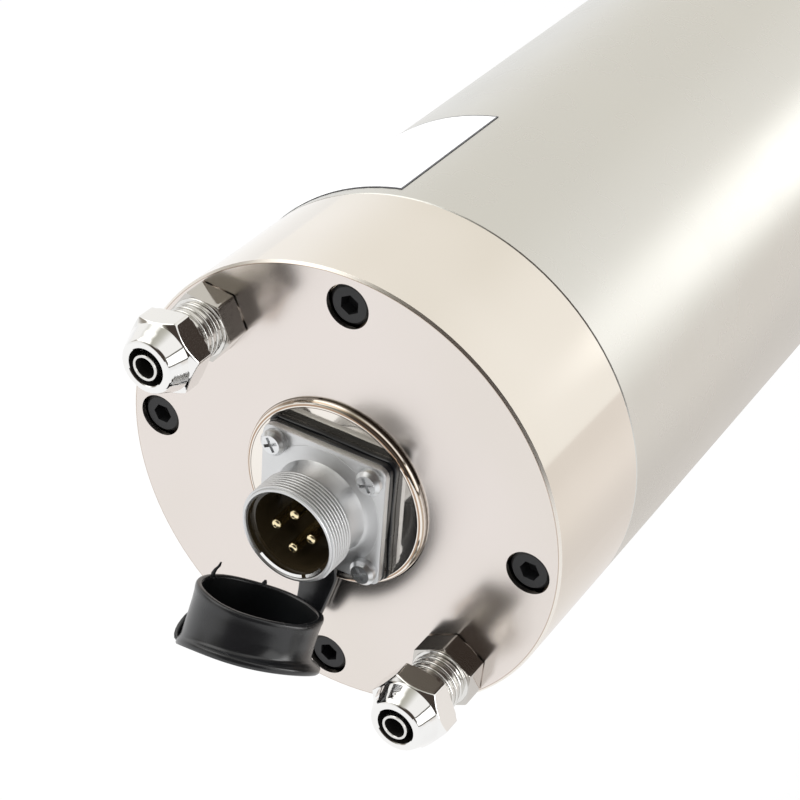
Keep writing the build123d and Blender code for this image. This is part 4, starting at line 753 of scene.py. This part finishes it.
# %% Four pins on their circle
circle_tree, given, realize = new_tree("copies_on_a_circle", [
    ("Radius", "Float", 0.003), ("Count", "Int", 4), ("First Angle", "Float", 0.0),
    ("Middle", "Vector", (0.0, 0.0, 0.0)), ("Copy", "Object", None)])
circle = circle_tree.nodes.new("GeometryNodeMeshCircle")
turn = circle_tree.nodes.new("GeometryNodeTransform")
angles = circle_tree.nodes.new("ShaderNodeCombineXYZ")
upright = circle_tree.nodes.new("GeometryNodeTransform")
upright.inputs["Rotation"].default_value = (-math.pi / 2, 0.0, 0.0)
source = circle_tree.nodes.new("GeometryNodeObjectInfo")
scatter = circle_tree.nodes.new("GeometryNodeInstanceOnPoints")
link = circle_tree.links.new
link(given.outputs["Radius"], circle.inputs["Radius"])
link(given.outputs["Count"], circle.inputs["Vertices"])
link(given.outputs["First Angle"], angles.inputs["Z"])
link(angles.outputs["Vector"], turn.inputs["Rotation"])
link(circle.outputs["Mesh"], turn.inputs["Geometry"])
link(turn.outputs["Geometry"], upright.inputs["Geometry"])
link(given.outputs["Middle"], upright.inputs["Translation"])
link(given.outputs["Copy"], source.inputs["Object"])
link(upright.outputs["Geometry"], scatter.inputs["Points"])
link(source.outputs["Geometry"], scatter.inputs["Instance"])
link(scatter.outputs["Instances"], realize.inputs["Geometry"])

pins = made_by(circle_tree, "connector_pins_dimpled", Radius=PIN_CIRCLE_R * MM, Count=4,
               **{"First Angle": 0.0}, Middle=(0.0, 0.0, -PINS_SHIFT * MM), Copy=one_pin, Finish=gold)
bpy.data.objects.remove(one_pin)
# Painted shade: the small faces on each dimple's wall get the near-black finish
pins.data.materials.append(painted_bore_shade)
for face in pins.data.polygons:
    if PIN_TIP - 0.6 < face.center.y / MM < PIN_TIP - 0.06 and face.area < 0.02 * MM * MM:
        face.material_index = 1
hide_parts("connector_pins")
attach(pins, "housing")
print("pins:", len(pins.data.polygons), "faces")

# %% [markdown]
# ## The rubber gasket
# Two cut sheets of soft rubber lie under the flange. They were cut by hand or by a worn die, so
# their edges wander a little, and the lower sheet stands out further. A low-frequency noise moves
# each edge point along its own direction from the middle.

# %% Gasket in two layers
def wandering(seed, reach):
    """Function that pushes an edge point in or out by a slow noise."""
    def move(point):
        push = noise.noise(Vector((point.x * 0.16, point.y * 0.16, seed))) * reach
        return tuple(point + point.normalized() * push)
    return move


HOLE_R, WANDER = 9.1, 0.28
SHEETS = [                             # side, seed of the wander, bottom, top
    (23.35, 3.1, BOSS_FACE, BOSS_FACE + 0.95),
    (22.75, 8.7, BOSS_FACE + 0.98, FLANGE_BACK),
]
bm = bmesh.new()
for side, seed, low, high in SHEETS:
    outer = rounded_square(side, FLANGE_CORNER, wobble=wandering(seed, WANDER))
    soft = [tuple(Vector(p) * (1 - 0.16 / Vector(p).length)) for p in outer]
    hole = [tuple(Vector(p).normalized() * HOLE_R) for p in outer]
    rings = [[bm.verts.new((x, y, z)) for x, z in line] for line, y in (
        (hole, low), (soft, low), (outer, low + 0.16), (outer, high - 0.16), (soft, high), (hole, high))]
    for one, other in zip(rings, rings[1:] + rings[:1]):
        for i in range(len(outer)):
            j = (i + 1) % len(outer)
            bm.faces.new((one[i], one[j], other[j], other[i]))
gasket = finished_object("connector_gasket_cut", bm, [rubber])
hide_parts("connector_gasket")
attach(gasket, "housing")
print("gasket faces:", len(gasket.data.polygons))

# %% [markdown]
# ## The dust cap
# The cap is a soft moulded cup. Its wall has a bead at the mouth, its base is a thin flange that
# has gone wavy, a tab curls up at the left, and a whisker of flash is left on the rim. It is made
# in the cup's own frame, where w runs out of the mouth, and then laid in place.

# %% Cup with its wavy flange
LEAN = math.radians(28.0)
FLANGE_ROOT_R, FLANGE_REACH = 10.4, 1.1
FLANGE_SHIFT = 0.85                    # the flange is pressed towards the right
CUP_MOUTH = Vector((4.2, 120.2, -14.6))
CUP_U = Vector((-1.0, 0.0, 0.0))
CUP_V = Vector((0.0, -math.cos(LEAN), -math.sin(LEAN)))
CUP_W = Vector((0.0, -math.sin(LEAN), math.cos(LEAN)))
cup_place = Matrix((CUP_U, CUP_V, CUP_W)).transposed().to_4x4()
cup_place.translation = CUP_MOUTH

outline = [
    (0.0, -8.5), (11.1, -8.5), (11.45, -8.42), (11.62, -8.15), (11.62, -7.55), (11.45, -7.3),
    (10.9, -7.22), (10.6, -7.1), (10.45, -6.7), (10.4, -4.4), (10.4, -2.4), (10.42, -1.2), (10.5, -0.8),
    (10.5, -0.35), (10.38, -0.1), (10.1, 0.0), (9.75, 0.0), (9.5, -0.1), (9.4, -0.4),
    (9.3, -2.0), (9.2, -4.4), (9.1, -6.4), (8.8, -7.0), (0.0, -7.1)]
bm = bmesh.new()
add_turned(bm, outline, segments=144)
# add_turned spins about Y, and here its height is w: swap so that (x, height, z) is (u, w, -v).
to_cup = Matrix(((1, 0, 0, 0), (0, 0, -1, 0), (0, 1, 0, 0), (0, 0, 0, 1)))
bmesh.ops.transform(bm, matrix=to_cup, verts=bm.verts)


def flange_wave(angle):
    """Height of the wavy flange's edge, in mm, round the cup."""
    return -(0.85 - 0.25 * math.cos(angle)) * math.cos(angle) ** 2 + 0.22 * math.sin(3 * angle + 2.2)


def on_flange(u, v, w):
    """0 on the wall, growing to 1 at the flange's edge."""
    return min(1.0, max(0.0, (math.hypot(u, v) - FLANGE_ROOT_R) / FLANGE_REACH)) if w < -6.9 else 0.0


def sagged(u, v, w):
    """The soft cup is deeper on its left, and the flange's edge waves."""
    share = min(1.0, max(0.0, (-w - 1.0) / 6.2))
    wave = on_flange(u, v, w) * flange_wave(math.atan2(v, u))
    return w + share * (0.14 * u - 0.10 * v - 0.75) + wave


for vert in bm.verts:
    u, v, w = vert.co
    vert.co.z = sagged(u, v, w)
    vert.co.x += FLANGE_SHIFT * on_flange(u, v, w)
    if w > -1.6:
        angle = math.atan2(v, u)
        vert.co.z += 0.12 * math.sin(2 * angle + 1.0) + 0.05 * math.sin(5 * angle)
        stretch = 1 + 0.007 * math.sin(2 * angle + 0.5)
        vert.co.x *= stretch
        vert.co.y *= stretch
bmesh.ops.transform(bm, matrix=cup_place, verts=bm.verts)
# Painted shade: the faces inside the cup get the darker rubber
for face in bm.faces:
    deep = cup_place.inverted() @ face.calc_center_median()
    if math.hypot(deep.x, deep.y) < 9.45 and -8.3 < deep.z < -0.6:
        face.material_index = 1
cup = finished_object("dust_cap_cup", bm, [rubber, rubber_inside_shade], smooth_deg=50)
print("cup faces:", len(cup.data.polygons))


# %% Tab, whisker and nub
def in_cup(u, v, w):
    """Point of the cup's own frame, in the spindle's frame."""
    return cup_place @ Vector((u, v, w))


tab_line = [(-9.3, -10.0), (-9.8, -10.2), (-10.2, -10.1), (-10.5, -9.7), (-10.7, -9.1), (-10.75, -8.4),
            (-10.75, -7.7), (-10.7, -7.0), (-10.6, -6.4)]
bm = bmesh.new()
add_ribbon(bm, [in_cup(u, -1.4 + 0.2 * k, w) for k, (u, w) in enumerate(tab_line)],
           [7.2, 7.2, 7.1, 6.9, 6.5, 6.0, 5.2, 4.2, 2.8], 0.8, CUP_V)
tab = finished_object("dust_cap_tab", bm, [rubber], smooth_deg=50)
whisker_line = [(-9.7, 0.8, -0.4), (-9.8, 0.8, 0.5), (-9.6, 0.85, 1.2), (-9.2, 0.9, 1.9), (-9.1, 0.95, 2.6)]
bm = bmesh.new()
add_ribbon(bm, [in_cup(*p) for p in whisker_line], [0.8, 0.65, 0.5, 0.42, 0.2], 0.42, CUP_U,
           rounding=0.12)
add_ribbon(bm, [in_cup(-4.45, 8.75, -0.2), in_cup(-4.4, 8.8, 0.18), in_cup(-4.4, 8.85, 0.55)],
           [0.9, 0.7, 0.3], 0.45, CUP_U, rounding=0.15)
flash = finished_object("dust_cap_flash", bm, [rubber])
cup = joined("dust_cap_moulded", cup, tab, flash)
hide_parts("dust_cap")
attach(cup, "cap_body")
print("dust cap faces:", len(cup.data.polygons))

# %% [markdown]
# ## The strap
# The strap is one band of rubber, from the gasket's lower edge down the cap's face and round to
# the cup's base. It bends in two places, and the band is cut in its stiff middle: the upper half
# bends where it leaves the gasket, the lower half where it meets the cup. The two halves overlap a
# little in the middle, so that no gap shows. On its way to the cup the band gets narrower and
# drifts a little to the left.

# %% Strap in two halves
STRAP_X, STRAP_DRIFT = 1.8, 1.3
STRAP_WIDTH, STRAP_NARROWING, STRAP_THICKNESS = 7.0, 2.0, 1.2
strap_points = [
    (107.66, -10.9), (107.62, -11.7), (107.45, -12.6), (107.05, -14.0), (106.72, -16.0), (106.62, -18.5),
    (106.62, -20.8), (106.72, -22.4), (107.0, -23.9), (107.55, -25.3), (108.4, -26.45), (109.5, -27.2),
    (110.8, -27.45), (112.0, -27.3), (113.026, -26.88), (113.9, -26.42), (114.5, -26.1)]


def strap_taper(z):
    """0 at the gasket, 1 where the band has narrowed towards the cup."""
    return min(1.0, max(0.0, (-17.0 - z) / 8.0))


strap_line = [Vector((STRAP_X + STRAP_DRIFT * strap_taper(z), y, z)) for y, z in strap_points]
upper_line, lower_line = strap_line[:11], strap_line[9:]


def smooth_line(points, steps=5):
    """Finer line through the points, rounded by a spline."""
    fine = []
    for i in range(len(points) - 1):
        p0, p1 = points[max(i - 1, 0)], points[i]
        p2, p3 = points[i + 1], points[min(i + 2, len(points) - 1)]
        for k in range(steps):
            t = k / steps
            fine.append(0.5 * (2 * p1 + (p2 - p0) * t + (2 * p0 - 5 * p1 + 4 * p2 - p3) * t * t
                               + (3 * p1 - p0 - 3 * p2 + p3) * t ** 3))
    return fine + [points[-1]]


for name, line, bodies, start, end in (
        ("strap_upper", upper_line, ("housing", "strap_body"), (107.7, -11.6), (107.7, -13.6)),
        ("strap_lower", lower_line, ("strap_body", "cap_body"), (112.0, -27.35), (113.6, -26.6))):
    bm = bmesh.new()
    line = smooth_line(line)
    widths = [STRAP_WIDTH - STRAP_NARROWING * strap_taper(p.z) for p in line]
    add_ribbon(bm, line, widths, STRAP_THICKNESS, (1, 0, 0), rounding=0.35)
    piece = finished_object(name, bm, [rubber], smooth_deg=50)
    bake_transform(piece)
    if name == "strap_upper":
        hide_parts("cap_strap")
    print(name, len(piece.data.polygons), "faces")

# %% [markdown]
# ## The hose fittings
# Each fitting is turned from hexagon bar: the hexagon's edges are broken by a small bevel, the
# thread runs under the nut, and the barb tube looks out of the nut's mouth. The bore and the barb's
# shoulder in the nut's mouth are painted near-black, a painted shade. The solids have a
# plain cylinder for the thread, so two dressed fittings replace them.

# %% Hose fittings
PORT_R = 33.63
FITTING_APOTHEM, HEX_HEIGHT = 5.2, 4.5


def port_centre(bench_deg):
    """(x, z) of a fitting's axis on the rear cap, from its angle on the circle of ports."""
    bench = math.radians(bench_deg)
    return -PORT_R * math.cos(bench), PORT_R * math.sin(bench)


for name, node, bench_deg, hex_turn in (
        ("inlet_fitting_threaded", "inlet_fitting", 135.0, 55.7),
        ("outlet_fitting_threaded", "outlet_fitting", 315.0, 28.0)):
    centre = port_centre(bench_deg)
    y = REAR_FACE
    bm = bmesh.new()
    top = y + HEX_HEIGHT
    add_hexed(bm, [(4.0, y), (5.05, y), (5.05, y + 0.14), (5.16, y + 0.18), (6.3, y + 0.24),
                   (6.3, top - 0.14), (5.9, top - 0.04), (5.1, top), (4.0, top)],
              FITTING_APOTHEM, hex_turn, centre, segments=180, sharpness=130.0)
    hexagon = finished_object("hexagon", bm, [nickel_dark], smooth_deg=25)
    bm = bmesh.new()
    add_turned(bm, [
        (1.69, y - 8.0), (3.6, y - 8.0), (4.0, y - 7.6), (4.0, y + 4.4), (5.1, y + 4.45), (5.0, y + 4.62),
        (4.5, y + 4.75), (4.42, y + 5.1), (4.42, y + 13.3), (4.1, y + 13.6), (2.78, y + 13.6),
        (1.98, y + 14.1), (1.98, y + 15.0), (2.28, y + 15.0), (2.28, y + 18.1), (2.16, y + 18.35),
        (2.0, y + 18.4), (1.78, y + 18.35), (1.69, y + 18.2), (1.69, y + 17.9)], centre=centre, segments=72)
    # Painted shade: the bore and the barb's shoulder inside the nut's mouth get the near-black finish
    for face in bm.faces:
        middle = face.calc_center_median()
        if math.hypot(middle.x - centre[0], middle.z - centre[1]) < 1.72 and y - 7.9 < middle.y:
            face.material_index = 1
        if y + 13.4 < middle.y < y + 15.1:
            face.material_index = 1
    barrel = finished_object("barrel", bm, [nickel, painted_bore_shade])
    ridges = made_by(thread_tree, "fitting_thread", Radius=4.44 * MM, Turns=6.6, Length=8.2 * MM,
                     Ridge=0.30 * MM, Start=(centre[0] * MM, (y + 5.15) * MM, centre[1] * MM), Finish=nickel)
    fitting = joined(name, barrel, hexagon, ridges)
    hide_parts(node)
    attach(fitting, "housing")
    print(name, len(fitting.data.polygons), "faces")

# %% [markdown]
# ## The hose nuts
# A hose nut is a short hexagon that runs into a rounded cone. Where the cone cuts the flat sides,
# the edges are arcs, and the polish has rounded them, so they draw thin white lines. One formula
# gives the whole skin: the radius is a soft minimum of the six flats and the turned outline. What
# lies inside the mouth has no light and is painted dark.

# %% Hose nuts
NUT_START, NUT_LENGTH, NUT_APOTHEM = 10.4, 7.8, 6.0
for name, node, body, bench_deg, hex_turn in (
        ("inlet_nut_rounded", "inlet_nut", "inlet_nut_body", 135.0, 10.0),
        ("outlet_nut_rounded", "outlet_nut", "outlet_nut_body", 315.0, 54.0)):
    centre = port_centre(bench_deg)
    low = REAR_FACE + NUT_START
    high = low + NUT_LENGTH
    profile = [(4.81, low), (5.9, low), (6.4, low + 0.1), (6.95, low + 0.35)]
    profile += [(7.2, low + 0.35 + 0.35 * k) for k in range(1, 9)]
    cone = [(7.0, 3.4), (6.45, 3.85), (6.0, 4.2), (5.8, 4.42), (5.6, 4.95), (5.32, 5.7), (5.02, 6.4),
            (4.78, 7.0), (4.6, 7.38), (4.45, 7.6), (4.2, 7.74), (3.9, 7.8)]
    for (r0, y0), (r1, y1) in zip(cone, cone[1:]):
        profile += [(r0 + (r1 - r0) * k / 4, low + y0 + (y1 - y0) * k / 4) for k in range(4)]
    profile += [(3.9, high), (3.32, high), (3.2, high - 0.12), (3.2, low + 5.0), (4.81, low + 3.8)]
    bm = bmesh.new()
    add_hexed(bm, profile, NUT_APOTHEM, hex_turn, centre, segments=240, sharpness=110.0)
    for face in bm.faces:
        middle = face.calc_center_median()
        if math.hypot(middle.x - centre[0], middle.z - centre[1]) < 3.3 and middle.y < high - 0.15:
            face.material_index = 1
    nut = finished_object(name, bm, [chrome, painted_bore_shade], smooth_deg=40)
    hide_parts(node)
    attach(nut, body)
    print(name, len(nut.data.polygons), "faces")

# %% [markdown]
# ## The nameplate
# The plate is a printed foil, glued round the tube. What is printed on the real one is left out,
# so it is bare white inside a dark line along its edges. It is a thin curved sheet with its own
# grid, because the dark line along its edge needs faces of its own.

# %% Nameplate
TUBE_END, PLATE_SETBACK, PLATE_LENGTH = 80.0, 2.4, 31.6
PLATE_MIDDLE, PLATE_HALF = math.radians(134.6), math.radians(33.0)
PLATE_HIGH = TUBE_END - PLATE_SETBACK
PLATE_LOW = PLATE_HIGH - PLATE_LENGTH
BORDER, COLUMNS = 0.32, 40
border_angle = BORDER / BODY_R
bare_first, bare_width = -PLATE_HALF + border_angle, 2 * (PLATE_HALF - border_angle)
angles_at = [-PLATE_HALF, bare_first]
angles_at += [bare_first + bare_width * k / COLUMNS for k in range(1, COLUMNS + 1)]
angles_at.append(PLATE_HALF)
heights = [PLATE_LOW, PLATE_LOW + BORDER, PLATE_HIGH - BORDER, PLATE_HIGH]
bm = bmesh.new()
grids = []
for radius in (BODY_R + 0.03, BODY_R + 0.09):
    grids.append([[bm.verts.new((
        -radius * math.cos(PLATE_MIDDLE + a), y, radius * math.sin(PLATE_MIDDLE + a)))
        for y in heights] for a in angles_at])
last = len(angles_at) - 1
for grid in grids:
    for i in range(last):
        for k in range(3):
            face = bm.faces.new((grid[i][k], grid[i + 1][k], grid[i + 1][k + 1], grid[i][k + 1]))
            face.material_index = 1 if i in (0, last - 1) or k != 1 else 0
inner, outer = grids
for i in range(last):
    for k in (0, 3):
        bm.faces.new((inner[i][k], inner[i + 1][k], outer[i + 1][k], outer[i][k])).material_index = 1
for k in range(3):
    for i in (0, last):
        bm.faces.new((inner[i][k], inner[i][k + 1], outer[i][k + 1], outer[i][k])).material_index = 1
plate = finished_object("nameplate_foil", bm, [foil, plate_dark_line])
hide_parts("nameplate")
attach(plate, "housing")
print("nameplate faces:", len(plate.data.polygons))
